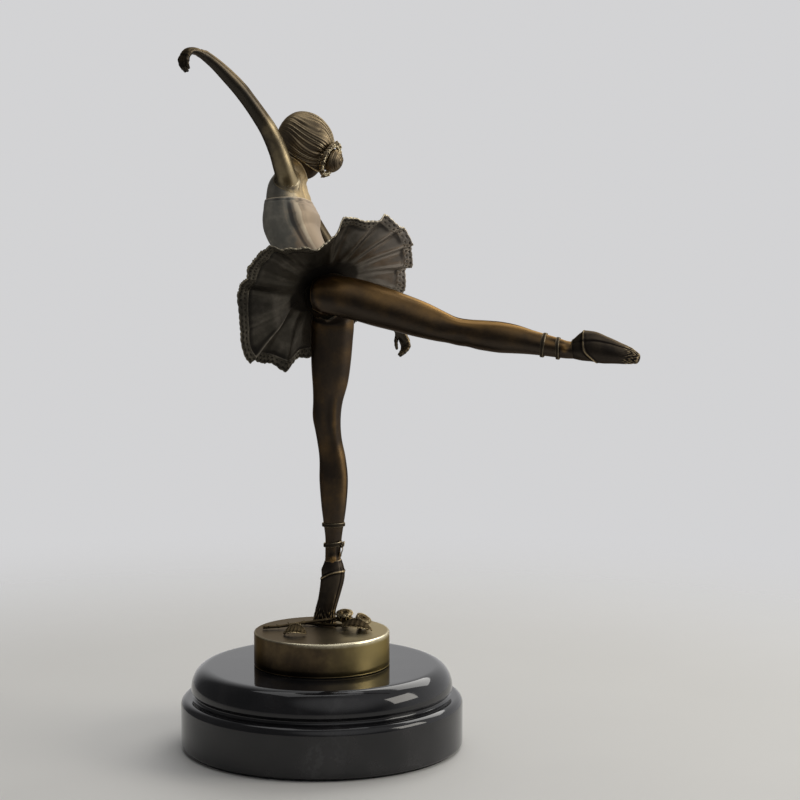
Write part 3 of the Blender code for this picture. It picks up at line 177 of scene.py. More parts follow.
# ---- roses ---------------------------------------------------------------------------------------
STEM_R = 0.8
LONG_STEM = ((-31.5, 1.5, 0.0), (-22.0, 3.0, 0.3), (-9.0, 6.5, 1.6), (3.0, 9.5, 2.4), (9.0, 11.5, 3.2))
SHORT_STEM = ((-12.0, 12.4, 0.0), (-3.0, 10.6, 0.0), (10.0, 3.0, 0.8), (20.0, 0.0, 2.6))
ROSES = (((11.8, 11.0, 6.6), (-0.05, -0.25, 0.95), 5.6), ((22.2, 2.4, 5.6), (0.45, -0.25, 0.85), 5.4))
LEAVES = (((-20.0, -12.0, 0.6), (-7.5, -13.0, 0.9), 5.2), ((10.0, -3.0, 2.6), (27.0, -6.0, 1.2), 4.6))
LEAF_TILT = 0.60                    # rise of a leaf's far side over its half width
# whorls of a rose from the heart outwards: petals, how far they open, their size, their lift
WHORLS = ((3, 0.02, 0.62, 0.55), (4, 0.12, 0.72, 0.42), (5, 0.26, 0.84, 0.24), (5, 0.46, 0.92, 0.06))
SEPALS, THORNS = 5, 7


# ---- small helpers -------------------------------------------------------------------------------
def unit(v):
    """Vectors scaled to length 1."""
    v = np.asarray(v, float)
    return v / np.linalg.norm(v, axis=-1, keepdims=True)


def smooth(x, low, high):
    """0 below low, 1 above high, 3x^2 - 2x^3 between."""
    x = np.clip((x - low) / (high - low), 0.0, 1.0)
    return x * x * (3 - 2 * x)


def turn_between(a, b):
    """Signed angle from b to a, in -pi to pi."""
    return (a - b + math.pi) % TURN - math.pi


def spline(rows, count):
    """Catmull-Rom curve through the station rows, sampled count times."""
    rows = np.asarray(rows, float)
    ends = np.vstack([2 * rows[0] - rows[1], rows, 2 * rows[-1] - rows[-2]])
    t = np.linspace(0, len(rows) - 1, count)
    i = np.minimum(t.astype(int), len(rows) - 2)
    u = (t - i)[:, None]
    a, b, c, d = (ends[i + k] for k in range(4))
    return 0.5 * (2 * b + (c - a) * u + (2 * a - 5 * b + 4 * c - d) * u ** 2
                  + (3 * b - a - 3 * c + d) * u ** 3)


def frames(centre, side):
    """Unit tangent, side and front vectors along a centre line; front = tangent x side."""
    tangent = unit(np.gradient(centre, axis=0))
    side = np.asarray(side, float)
    side = unit(side - (tangent @ side)[:, None] * tangent)
    return tangent, side, np.cross(tangent, side)


def swell(t, a, at, angle, length, spread, height):
    """height * exp(-((t-at)/length)^2 - ((a-angle)/spread)^2), angles in degrees."""
    turn = np.degrees(turn_between(a, math.radians(angle)))
    return height * np.exp(-((t - at) / length) ** 2 - (turn / spread) ** 2)


# ---- meshes --------------------------------------------------------------------------------------
def grid_quads(rows, sides, close_rows=False):
    """Quads over a grid whose rows close on themselves, and whose columns do where asked."""
    i = np.arange(rows if close_rows else rows - 1)[:, None]
    j = np.arange(sides)[None]
    k, m = (i + 1) % rows, (j + 1) % sides
    return np.stack([i * sides + j, i * sides + m, k * sides + m, k * sides + j], -1).reshape(-1, 4)


def capped(grid):
    """Points and faces of a tube grid, closed by a fan to the mean of each end ring."""
    rows, sides = grid.shape[:2]
    points = np.vstack([grid.reshape(-1, 3), grid[0].mean(0), grid[-1].mean(0)])
    j = np.arange(sides)
    m = (j + 1) % sides
    last = (rows - 1) * sides
    start = np.stack([np.full(sides, rows * sides), m, j], -1)
    end = np.stack([np.full(sides, rows * sides + 1), last + j, last + m], -1)
    return points, grid_quads(rows, sides), np.vstack([start, end])


def ringed(grid):
    """Points and faces of a grid that closes on itself both ways."""
    return grid.reshape(-1, 3), grid_quads(*grid.shape[:2], close_rows=True), np.zeros((0, 3), int)


def merged(parts):
    """One set of points and faces from several."""
    points, quads, tris, shift = [], [], [], 0
    for p, q, t in parts:
        q, t = outward(p, q, t)
        points.append(p)
        quads.append(q + shift)
        tris.append(t + shift)
        shift += len(p)
    return np.vstack(points), np.vstack(quads), np.vstack(tris)


def outward(p, q, t):
    """Turn a closed set of faces so that its volume is positive."""
    q, t = np.asarray(q, int).reshape(-1, 4), np.asarray(t, int).reshape(-1, 3)
    centre = p.mean(0)
    every = np.vstack([q[:, :3], q[:, [0, 2, 3]], t])
    a, b, c = ((p - centre)[every[:, k]] for k in range(3))
    if np.einsum("ij,ij->i", a, np.cross(b, c)).sum() < 0:
        return q[:, ::-1], t[:, ::-1]
    return q, t


def neighbour_mean(values, edges, count):
    """Mean of a value over each vertex's neighbours."""
    total = np.bincount(edges[:, 0], values[edges[:, 1]], count)
    total += np.bincount(edges[:, 1], values[edges[:, 0]], count)
    ways = np.bincount(edges.ravel(), minlength=count)
    return total / np.maximum(ways, 1)


def mark_edges(mesh, size, rounds):
    """Attributes 'edge', how far a vertex stands proud of its smoothed surroundings over size mm,
    and 'crown', how far its surface faces up, from -1 to 1.
    """
    count = len(mesh.vertices)
    co = np.empty(count * 3)
    no = np.empty(count * 3)
    mesh.vertices.foreach_get("co", co)
    mesh.vertices.foreach_get("normal", no)
    co, no = co.reshape(-1, 3) / MM, no.reshape(-1, 3)
    edges = np.empty(len(mesh.edges) * 2, np.int32)
    mesh.edges.foreach_get("vertices", edges)
    edges = edges.reshape(-1, 2)
    away = co.copy()
    for _ in range(rounds):
        away = np.stack([neighbour_mean(away[:, k], edges, count) for k in range(3)], -1)
    proud = np.einsum("ij,ij->i", co - away, no)
    for _ in range(3):
        proud = 0.5 * proud + 0.5 * neighbour_mean(proud, edges, count)
    wide = proud
    for _ in range(3 * rounds):
        wide = neighbour_mean(wide, edges, count)
    proud = proud - wide                                # the even roundness of the form is no edge
    for name, value in (("edge", np.clip(proud / size, -1, 1)), ("crown", no[:, 2])):
        mesh.attributes.new(name, "FLOAT", "POINT").data.foreach_set("value", value.astype(np.float32))


def piece(name, shape, material, nodes, edge_size=0.12, rounds=10, edge=None):
    """A finished casting: mesh from points and faces in mm, riding on the root body.

    Its edge attribute is measured on the mesh unless it is given.
    """
    points, quads, tris = shape
    quads, tris = outward(points, quads, tris)
    mesh = bpy.data.meshes.new(name)
    mesh.vertices.add(len(points))
    mesh.vertices.foreach_set("co", (points * MM).astype(np.float32).ravel())
    loops = np.concatenate([quads.ravel(), tris.ravel()]).astype(np.int32)
    mesh.loops.add(len(loops))
    mesh.loops.foreach_set("vertex_index", loops)
    starts = np.concatenate([np.arange(len(quads)) * 4, len(quads) * 4 + np.arange(len(tris)) * 3])
    mesh.polygons.add(len(starts))
    mesh.polygons.foreach_set("loop_start", starts.astype(np.int32))
    mesh.update(calc_edges=True)
    mesh.validate()
    mesh.shade_smooth()
    mark_edges(mesh, edge_size, rounds)
    if edge is not None:
        mesh.attributes["edge"].data.foreach_set("value", edge.astype(np.float32))
    mesh.materials.append(material)
    obj = bpy.data.objects.new(name, mesh)
    bpy.context.scene.collection.objects.link(obj)
    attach(obj, "root")
    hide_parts(*nodes)


# ---- limbs and how they flow into one another ----------------------------------------------------
def full_row(x, y, z, side, *rest):
    """A station row in full, from a full or a short one."""
    return (x, y, z, side, *rest) if len(rest) > 1 else (x, y, z, side, side, rest[0], rest[0], 2.0)


class Limb:
    """A rounded form round a centre line: a Catmull-Rom through stations, each with its own outline."""

    def __init__(self, rows, side, count):
        st = spline([full_row(*row) for row in rows], count)
        self.centre, self.sizes = st[:, :3], st[:, 3:]
        self.tangent, self.side, self.front = frames(self.centre, side)

    def radius(self, i, x, y):
        """Reach of station i's outline in the unit direction (x, y): (|x/a|^n + |y/b|^n)^(-1/n)."""
        s = self.sizes[i]
        a = np.where(x > 0, s[..., 0], s[..., 1])
        b = np.where(y > 0, s[..., 2], s[..., 3])
        n = s[..., 4]
        return (np.abs(x / a) ** n + np.abs(y / b) ** n) ** (-1 / n)

    def distance(self, p):
        """Distance of points from the surface (minus inside) and the way outwards."""
        near = np.argmin((self.centre ** 2).sum(1) - 2 * p @ self.centre.T, axis=1)
        rel = p - self.centre[near]
        x = np.einsum("ij,ij->i", rel, self.side[near])
        y = np.einsum("ij,ij->i", rel, self.front[near])
        z = np.einsum("ij,ij->i", rel, self.tangent[near])
        flat = np.hypot(x, y) + 1e-9
        x, y = x / flat, y / flat
        beyond = np.where((near == 0) | (near == len(self.centre) - 1), z, 0.0)
        way = x[:, None] * self.side[near] + y[:, None] * self.front[near]
        return np.hypot(np.maximum(flat - self.radius(near, x, y), 0), beyond) \
            + np.minimum(flat - self.radius(near, x, y), 0) * (beyond == 0), way

    def surface(self, sides, bulge, relief=None, family=(), blend=BLEND):
        """Grid of points centre + r(t, a) (cos a side + sin a front), flowing into its neighbours.

        Relief adds r(t, a) of its own, with t from 0 to 1 along the limb and a the angle round it;
        each end is closed by a quarter arc that bulges that far.
        """
        count = len(self.centre)
        a = TURN * np.arange(sides) / sides
        i = np.arange(count)[:, None] + 0 * np.arange(sides)[None]
        x, y = np.cos(a)[None] + 0 * i, np.sin(a)[None] + 0 * i
        way = x[..., None] * self.side[:, None] + y[..., None] * self.front[:, None]
        grid = self.centre[:, None] + self.radius(i, x, y)[..., None] * way
        if family:
            grid = flow(grid.reshape(-1, 3), self, family, blend).reshape(grid.shape)
        if relief is not None:
            t = np.linspace(0, 1, count)[:, None] + 0 * a[None]
            grid = grid + relief(t, a[None] + 0 * t)[..., None] * way
        turns = np.linspace(1.5, 0.12, 9)
        caps = []
        for end, sign in ((0, -1.0), (-1, 1.0)):
            middle = self.centre[end]
            caps.append([middle + (grid[end] - middle) * math.cos(k) + sign * bulge * math.sin(k)
                         * self.tangent[end] for k in turns])
        return np.concatenate([caps[0], grid, caps[1][::-1]])


class Ball:
    """A star-shaped form: radius(d) along unit directions from its centre."""

    def __init__(self, centre, axes, radius):
        self.centre, self.axes, self.radius = centre, axes, radius

    def distance(self, p):
        """Distance of points from the surface (minus inside) and the way outwards."""
        rel = p - self.centre
        length = np.linalg.norm(rel, axis=1)
        way = rel / length[:, None]
        return length - self.radius(way @ self.axes.T), way


def flow(points, own, family, blend):
    """Move points onto the smooth union of a family of forms, their own among them.

    The union of distances f and d is f(1-h) + d h - blend h (1-h), h = 1/2 + (f-d)/(2 blend);
    points sink or rise along its slope until it is zero. Points deep in a neighbour stay.
    """
    p = points.copy()
    reach = np.min([o.distance(p)[0] for o in family if o is not own], axis=0)
    moving = (reach < blend) & (reach > -0.8 * blend)
    q = p[moving]
    if not len(q):
        return p
    for _ in range(7):
        f, way = family[0].distance(q)
        for other in family[1:]:
            d, out = other.distance(q)
            h = np.clip(0.5 + 0.5 * (f - d) / blend, 0, 1)
            f = f * (1 - h) + d * h - blend * h * (1 - h)
            way = way * (1 - h)[:, None] + out * h[:, None]
        q = q - np.clip(f, -2, 2)[:, None] * unit(way + 1e-9)
    p[moving] = q
    return p


# ---- shader maths --------------------------------------------------------------------------------
class Value:
    """A number socket that takes part in sums."""

    def __init__(self, finish, socket):
        self.finish, self.socket = finish, socket

    def sum(self, operation, *others):
        """One Math node over this number and the others."""
        return self.finish.node("ShaderNodeMath", {"operation": operation}, [self, *others])

    def __add__(self, other):
        return self.sum("ADD", other)

    def __sub__(self, other):
        return self.sum("SUBTRACT", other)

    def __rsub__(self, other):
        return (self * -1.0) + other

    def __mul__(self, other):
        return self.sum("MULTIPLY", other)

    __radd__ = __add__
    __rmul__ = __mul__

    def rise(self, low, high):
        """0 below low, 1 above high, smooth between."""
        return self.finish.node("ShaderNodeMapRange", {"interpolation_type": "SMOOTHSTEP"},
                                [self, low, high, 0.0, 1.0])


class Graph:
    """A node tree that is written as sums and calls."""

    def __init__(self, tree):
        self.tree = tree

    def node(self, kind, settings, inputs, output=0):
        """A node of one kind: its settings first, then its inputs by order or name, then one output."""
        made = self.tree.nodes.new(kind)
        for key, value in settings.items():
            setattr(made, key, value)
        pairs = inputs.items() if isinstance(inputs, dict) else enumerate(inputs)
        for key, value in pairs:
            self.put(made.inputs[key], value)
        return Value(self, made.outputs[output])

    def put(self, socket, value):
        """Link a value to a socket, or set the socket's own number or colour."""
        if isinstance(value, Value):
            self.tree.links.new(value.socket, socket)
        elif isinstance(value, tuple) and len(value) == 3 and socket.type == "RGBA":
            socket.default_value = (*value, 1.0)
        else:
            socket.default_value = value

    def mix(self, share, first, second):
        """A colour between two, by share."""
        return self.node("ShaderNodeMix", {"data_type": "RGBA"}, {0: share, 6: first, 7: second}, 2)


class Finish(Graph):
    """A material whose colours, gloss and grain are worked out over the piece."""

    def __init__(self, name):
        self.material = bpy.data.materials.new(name)
        self.material.use_nodes = True
        super().__init__(self.material.node_tree)
        self.shader = self.tree.nodes["Principled BSDF"]
        self.place = self.node("ShaderNodeTexCoord", {}, [], "Object")

    def noise(self, size, detail=3.0, stretch=None, roughness=0.5):
        """Fractal noise with features of about size mm, drawn out along an axis by stretch."""
        at = self.place
        if stretch is not None:
            at = self.node("ShaderNodeVectorMath", {"operation": "MULTIPLY"}, [self.place, stretch])
        return self.node("ShaderNodeTexNoise", {},
                         {"Vector": at, "Scale": 1.0 / (size * MM), "Detail": detail, "Roughness": roughness})

    def attribute(self, name):
        """A number kept at the piece's own points."""
        return self.node("ShaderNodeAttribute", {"attribute_name": name}, [], "Fac")

    def grain(self, height, distance, strength=1.0):
        """A surface roughened by height over distance mm."""
        return self.node("ShaderNodeBump", {},
                         {"Height": height, "Distance": distance * MM, "Strength": strength})

    def done(self, **sockets):
        """The finished material, its shader's sockets filled by name."""
        for name, value in sockets.items():
            self.put(self.shader.inputs[name.replace("_", " ")], value)
        return self.material


def bronze(name, dark, warm, rubbed, gloss, wear=0.55, cloud=9.0, coat=0.20, lift=0.30, metal=1.0,
           top=None, uneven=1.0, painted_side_light=None):
    """Patinated bronze: dark patina in the hollows, painted light that warms what faces up and darkens
    what faces down, and rubbed bright along raised edges from wear upwards, partly a painted highlight.
    Painted side light is a lit tone that takes over between two places along X in mm, and top the
    colours of a polished flat deck before and after that change, a painted reflection.
    """
    f = Finish(name)
    edge, crown = f.attribute("edge"), f.attribute("crown")
    clouds = f.noise(cloud, 4.0, roughness=0.6)
    fine = f.noise(1.1, 3.0)
    speck = f.noise(0.35, 2.0)
    # colour share: patina clouds and raised edges, plus painted light from above as crown times lift
    patina_and_top_light = (clouds * uneven + 0.5 * (1.0 - uneven) + edge * 0.30 + fine * 0.08
                 + crown * lift).rise(0.40, 0.96)
    base = f.mix(patina_and_top_light, dark, warm)
    # painted side light: past two places along X the colour turns to a lighter, lit tone
    if painted_side_light is not None:
        low, high, side_light_colour = painted_side_light
        along = f.node("ShaderNodeSeparateXYZ", {}, [f.place], "X")
        over = (along + (clouds - 0.5) * 0.02).rise(low * MM, high * MM)
        base = f.mix(over, base, side_light_colour)
    # painted reflection on the flat deck: dark brown on its left, pale gold on its lit right
    if top is not None:
        base = f.mix(crown.rise(0.70, 0.98), base, f.mix(over, top[0], top[1]))
    hollow = (edge * -1.0).rise(0.12, 0.75)
    base = f.mix(hollow * 0.75, base, (dark[0] * 0.35, dark[1] * 0.35, dark[2] * 0.4))
    # rubbed bright on raised edges: wear, and on the bodice ridge and the plinth rim a painted highlight
    wear_and_highlight = (edge * (clouds * 0.8 + fine * 0.5 + 0.4)).rise(wear, wear + 0.45)
    base = f.mix(wear_and_highlight, base, rubbed)
    rough = gloss + (clouds - 0.5) * 0.14 + (fine - 0.5) * 0.08 + hollow * 0.18 - wear_and_highlight * 0.06
    normal = f.grain(fine * 0.6 + speck * 0.4, 0.05)
    f.put(f.shader.inputs["Coat Roughness"], 0.34)
    f.put(f.shader.inputs["Specular Tint"], EDGE_TINT)
    return f.done(Base_Color=base, Roughness=rough, Metallic=metal, Coat_Weight=coat - hollow * coat,
                  Normal=normal)


def marble():
    """Near-black polished stone with pale grey flecks and a few faint veins."""
    f = Finish("black_marble")
    clouds = f.noise(22.0, 5.0)
    veins = f.noise(34.0, 6.0, roughness=0.65)
    thread = ((veins - 0.5) * (veins - 0.5) * -900.0 + 1.0).rise(0.3, 1.0) * clouds.rise(0.52, 0.7)
    flecks = f.noise(1.6, 2.0).rise(0.74, 0.84)
    base = f.mix(clouds.rise(0.35, 0.75), (0.008, 0.008, 0.009), (0.020, 0.019, 0.020))
    base = f.mix(flecks * 0.4, base, (0.09, 0.09, 0.095))
    base = f.mix(thread * 0.12, base, (0.12, 0.12, 0.125))
    rough = 0.055 + f.noise(6.0, 3.0).rise(0.45, 0.9) * 0.07
    normal = f.grain(f.noise(14.0, 1.0), 0.02, 0.35)
    return f.done(Base_Color=base, Roughness=rough, Metallic=0.0, Specular_IOR_Level=0.5, Normal=normal)


def felt():
    """Pressed black wool: matted fibres, a little lint."""
    f = Finish("black_felt")
    fibres = f.noise(0.5, 4.0, (1.0, 1.0, 0.3))
    base = f.mix(fibres.rise(0.35, 0.75), (0.010, 0.010, 0.011), (0.045, 0.045, 0.047))
    return f.done(Base_Color=base, Roughness=0.88 + fibres * 0.1, Metallic=0.0,
                  Normal=f.grain(fibres, 0.25))


def steel():
    """Zinc-plated steel with turning marks and duller patches."""
    f = Finish("plated_steel")
    marks = f.noise(0.5, 2.0, (1.0, 1.0, 9.0))
    patches = f.noise(3.0, 3.0)
    base = f.mix(patches.rise(0.4, 0.7), (0.52, 0.53, 0.55), (0.38, 0.38, 0.37))
    rough = 0.24 + marks * 0.14 + patches * 0.12
    return f.done(Base_Color=base, Roughness=rough, Metallic=1.0, Normal=f.grain(marks, 0.02))


def floor_finish():
    """Pale matt board with barely seen mottling."""
    f = Finish("pale_board")
    clouds = f.noise(160.0, 4.0)
    base = f.mix(clouds, (0.68, 0.67, 0.64), (0.74, 0.73, 0.70))
    reach = f.node("ShaderNodeVectorMath", {"operation": "LENGTH"}, [f.place], "Value")
    return f.done(Base_Color=base, Roughness=0.62 + clouds * 0.1, Metallic=0.0,
                  Alpha=1.0 - reach.rise(0.30 * FLOOR_R, 0.98 * FLOOR_R))


# metals: colours in the hollows, on open skin and where rubbed; then roughness; lift is painted top light
SKIN = bronze("bronze_skin", (0.046, 0.034, 0.024), (0.260, 0.150, 0.052), (0.46, 0.34, 0.17), 0.35, wear=1.4,
              cloud=17.0, lift=0.30, uneven=0.6)
ARM_METAL = {"dark": (0.040, 0.034, 0.026), "warm": (0.200, 0.146, 0.078), "rubbed": (0.46, 0.36, 0.20),
             "gloss": 0.35, "wear": 0.6, "cloud": 17.0, "lift": 0.25, "uneven": 0.6}
LOWERED_ARM = bronze("bronze_arms", **ARM_METAL)
# painted highlight: the raised arm turns golden towards the shoulder
RAISED_ARM = bronze("bronze_raised_arm", **ARM_METAL, painted_side_light=(-28.0, -11.0, (0.50, 0.40, 0.23)))
# painted highlight: the bust turns gold towards the armpit and the back
BUST_FINISH = bronze("bronze_bust", (0.190, 0.180, 0.150), (0.440, 0.400, 0.320), (0.90, 0.76, 0.50), 0.46,
                     wear=0.5, lift=0.20, metal=0.65, painted_side_light=(-20.0, -10.0, (0.66, 0.50, 0.27)))
# painted shade: the hips under the skirt are much darker than the skin and the dress
HIPS = bronze("bronze_hips", (0.022, 0.019, 0.015), (0.070, 0.060, 0.047), (0.10, 0.09, 0.07), 0.50,
              wear=0.9, coat=0.0)
CLOTH = {"coat": 0.08, "metal": 0.85, "uneven": 0.6}
# painted light: the skirt turns lighter towards +X, on its lit right lobe
DRESS = bronze("bronze_dress", (0.055, 0.049, 0.039), (0.260, 0.230, 0.190), (0.56, 0.51, 0.44), 0.42,
               wear=3.0, lift=0.10, painted_side_light=(12.0, 52.0, (0.46, 0.41, 0.355)), **CLOTH)
# painted light: the lace turns lighter towards +X, on the lit right lobe
LACE = bronze("bronze_lace", (0.075, 0.066, 0.050), (0.290, 0.256, 0.200), (0.66, 0.58, 0.40), 0.44,
              wear=0.85, lift=0.15, painted_side_light=(12.0, 52.0, (0.44, 0.39, 0.33)), **CLOTH)
# painted light: the bodice turns tan towards its lit back, and its low wear threshold paints a cream
# highlight on the ridge
BODICE_FINISH = bronze("bronze_bodice", (0.270, 0.262, 0.225), (0.520, 0.475, 0.390), (0.80, 0.68, 0.50),
                       0.58, wear=0.22, coat=0.05, lift=0.10, metal=0.45, cloud=6.0,
                       painted_side_light=(-17.0, -10.0, (0.47, 0.37, 0.265)))
TRIM = bronze("bronze_trim", (0.100, 0.080, 0.054), (0.260, 0.210, 0.140), (0.56, 0.48, 0.32), 0.44,
              wear=0.35, coat=0.10)
SHOE = bronze("bronze_shoe", (0.040, 0.032, 0.025), (0.100, 0.078, 0.054), (0.40, 0.31, 0.18), 0.42,
              wear=0.5, coat=0.10)
HAIR = bronze("bronze_hair", (0.130, 0.100, 0.066), (0.310, 0.240, 0.145), (0.66, 0.57, 0.38), 0.42,
              wear=0.35, coat=0.10)
FLOWER = bronze("bronze_flower", (0.030, 0.022, 0.013), (0.120, 0.088, 0.046), (0.50, 0.41, 0.25), 0.44,
                wear=0.5, coat=0.10)
# painted light: the plinth turns golden towards the lit right, its deck carries a painted reflection and its
# rim a painted highlight
PLINTH = bronze("bronze_plinth", (0.075, 0.054, 0.034), (0.230, 0.165, 0.085), (0.95, 0.86, 0.62), 0.33,
                wear=0.10, cloud=16.0, coat=0.10, lift=0.10, painted_side_light=(-4.0, 30.0, (0.32, 0.25, 0.105)),
                top=((0.19, 0.155, 0.11), (0.66, 0.56, 0.34)))


# ---- base ----------------------------------------------------------------------------------------
def arc(cx, cz, rx, rz, start, end, count):
    """Points (r, z) on an elliptic arc, angles in degrees from +r towards +z."""
    a = np.radians(np.linspace(start, end, count))
    return np.stack([cx + rx * np.cos(a), cz + rz * np.sin(a)], -1)


def turned(outline, sides):
    """A closed (r, z) outline carried round Z, with long straight runs cut into shorter ones."""
    outline = np.vstack(outline)
    dense = []
    for a, b in zip(outline, np.roll(outline, -1, 0)):
        steps = max(1, int(np.linalg.norm(b - a) / 2.5))
        dense.append(a + (b - a) * (np.arange(steps) / steps)[:, None])
    r, z = np.vstack(dense).T
    a = TURN * np.arange(sides) / sides
    grid = np.stack([r[:, None] * np.cos(a), r[:, None] * np.sin(a), z[:, None] + 0 * a], -1)
    return ringed(grid)


def build_base():
    """Marble base and bronze plinth: (r, z) outlines of straights and arcs turned about Z."""
    bottom = FELT_T + GAP
    dome = arc(DOME_FLAT_R, COVE_TOP + 1.2, DOME_R - DOME_FLAT_R, BASE_TOP - COVE_TOP - 1.2, 90, 0, 22)
    lip = arc(DOME_R - 0.7, COVE_TOP + 0.7, 0.7, 0.7, 0, -90, 5)
    cove = arc(DOME_R - 0.3, (COVE_TOP + DRUM_TOP) / 2, 1.6, (COVE_TOP - DRUM_TOP) / 2, 90, 270, 14)
    rim = arc(BASE_R - BASE_RIM, DRUM_TOP - BASE_RIM, BASE_RIM, BASE_RIM, 90, 0, 14)
    foot = arc(BASE_R - 1.6, bottom + 1.6, 1.6, 1.6, 0, -90, 6)
    recess = [(RECESS_R, bottom), (RECESS_R, RECESS_TOP), (STUD_R + GAP, RECESS_TOP)]
    start = [(STUD_R + GAP, BASE_TOP)]
    piece("turned_marble_base", turned([start, dome, lip, cove, rim, foot, recess], 192), marble(),
          ["marble_base"], edge_size=0.3)
    # plinth: a cup cast upside down, its rim eased and a shallow groove turned near the foot
    low = BASE_TOP + GAP
    deck = PLINTH_TOP - PLINTH_DECK
    ease = arc(PLINTH_R - 1.0, PLINTH_TOP - 0.9, 1.0, 0.9, 90, 0, 8)
    lip = [(PLINTH_R - 2.2, PLINTH_TOP - 0.06), (PLINTH_R - 1.6, PLINTH_TOP)]
    groove = arc(PLINTH_R + 0.05, low + 0.5, 0.15, 0.15, 90, 270, 5)
    inside = PLINTH_R - PLINTH_WALL
    skirt = [(PLINTH_R + 0.05, low + 0.3), (PLINTH_R - 0.1, low), (inside, low), (inside, deck)]
    boss = [(8.0, deck), (8.0, low), (STUD_R + GAP, low), (STUD_R + GAP, deck - 1.6), (0.02, deck - 1.6)]
    middle = [(r, PLINTH_TOP) for r in (0.02, 0.1, 0.4)]
    cup = turned([middle, lip, ease, groove, skirt, boss], 176)
    # rubbed bright along the rim as wear, with a painted highlight that is strongest at the front right,
    # where the light falls
    x, y, z = cup[0].T
    rim = np.exp(-((z - PLINTH_TOP + 0.35) / 0.55) ** 2)
    rim *= smooth(np.hypot(x, y), PLINTH_R - 1.6, PLINTH_R - 0.6)
    # painted highlight: the rim is brighter towards the front right
    rim *= 0.30 + 0.70 * smooth(x - 0.5 * y, -10.0, 28.0)
    piece("cast_plinth", cup, PLINTH, ["bronze_plinth"], edge=rim)


# ---- legs and feet -------------------------------------------------------------------------------
def calf_and_knee(t, a, back, out, calf, knee, ankle):
    """Twin calf heads, a shin edge, kneecap with its tendon, ankle bones and the heel tendon."""
    r = swell(t, a, calf, back - 32, 0.09, 30, 0.55) + swell(t, a, calf - 0.02, back + 34, 0.085, 30, 0.45)
    r += swell(t, a, calf, back, 0.07, 12, -0.35)
    r += swell(t, a, calf - 0.03, back + 180, 0.16, 14, 0.30)
    r += swell(t, a, knee, back + 180, 0.035, 34, 0.75) + swell(t, a, knee - 0.06, back + 180, 0.03, 14, 0.35)
    r += swell(t, a, knee, back + 120, 0.04, 26, -0.35) + swell(t, a, knee, back - 120, 0.04, 26, -0.35)
    r += swell(t, a, knee, back, 0.05, 22, -0.45)
    r += swell(t, a, knee, back - 48, 0.06, 12, 0.30) + swell(t, a, knee, back + 48, 0.06, 12, 0.30)
    r += swell(t, a, ankle, out, 0.02, 26, 0.60) + swell(t, a, ankle + 0.012, out + 180, 0.02, 26, 0.60)
    r += swell(t, a, ankle + 0.05, back, 0.07, 14, 0.35)
    for side in (back - 38, back + 38):
        r += swell(t, a, ankle + 0.05, side, 0.06, 18, -0.30)
    r += swell(t, a, 0.86, back + 150, 0.16, 30, 0.35) + swell(t, a, 0.84, back + 96, 0.16, 10, -0.30)
    return r


def standing_relief(t, a):
    """The leg's muscles and joints at their places on the standing leg, foot to hip."""
    return calf_and_knee(t, a, 78.0, 0.0, 0.46, 0.655, 0.185)


def raised_relief(t, a):
    """The same on the raised leg."""
    return calf_and_knee(t, a, 84.0, 0.0, 0.42, 0.555, 0.165)


def shoe_relief(sole, throat):
    """Seam grooves of a pointe shoe: sole's edge, heel seam, throat line, and gathers under the toe.

    Sole and throat are the angles round the foot, in degrees, of the two sides they lie on.
    """
    def relief(t, a):
        r = swell(t, a, 0.45, sole - 42, 0.42, 5, -0.30) + swell(t, a, 0.45, sole + 42, 0.42, 5, -0.30)
        r += swell(t, a, 0.50, sole, 0.42, 30, 0.22)
        r += swell(t, a, 0.92, sole, 0.16, 3.5, -0.30)
        pleats = np.sin(26 * a + 2.0 * np.sin(3 * a)) * np.exp(-((t - 0.06) / 0.14) ** 2)
        r += 0.20 * pleats + 0.16 * np.sin(60 * t + 5 * np.sin(4 * a)) * np.exp(-((t - 0.05) / 0.12) ** 2)
        edge = t - (0.80 - 0.20 * np.exp(-(np.degrees(turn_between(a, math.radians(throat))) / 60) ** 2))
        r += 0.32 * np.exp(-(edge / 0.018) ** 2) - 0.28 * smooth(edge, 0.0, 0.06)
        return r
    return relief


def winding(limb_rows, side, at, width, thick, tilt, spin, sides=96):
    """A cast ribbon wound round a limb: a flat lens profile carried round the limb's outline."""
    limb = Limb(limb_rows, side, 401)
    i = int(round(at * 400))
    a = TURN * np.arange(sides) / sides
    profile = TURN * np.arange(14) / 14
    reach = limb.radius(np.full(sides, i), np.cos(a), np.sin(a))
    lift = tilt * np.sin(a + spin)
    u = np.cos(profile)[:, None]
    v = np.sin(profile)[:, None]
    out = reach[None] + 0.20 + thick / 2 + thick / 2 * np.sign(v) * np.abs(v) ** 0.6 \
        + 0.08 * np.sin(3 * a)[None] * (1 + u) + 0.10 * np.abs(u) ** 3
    up = width / 2 * np.sign(u) * np.abs(u) ** 0.7 * (1 + 0.10 * np.sin(2 * a + 1.0)[None]) + lift[None]
    way = np.cos(a)[:, None] * limb.side[i] + np.sin(a)[:, None] * limb.front[i]
    grid = limb.centre[i] + out[..., None] * way[None] + up[..., None] * limb.tangent[i]
    return ringed(grid)


def tape(path, across, width, thick, count=60):
    """A ribbon carried along a path: a flat oval section, width across by thick."""
    centre = spline(path, count)
    _, side, front = frames(centre, across)
    a = TURN * np.arange(12) / 12
    grow = np.minimum(1.0, 0.35 + 3.0 * np.linspace(0, 1, count))[:, None, None]
    grid = centre[:, None] + grow * ((width / 2 * np.cos(a))[None, :, None] * side[:, None]
                                     + (thick / 2 * np.sin(a))[None, :, None] * front[:, None])
    return capped(grid)


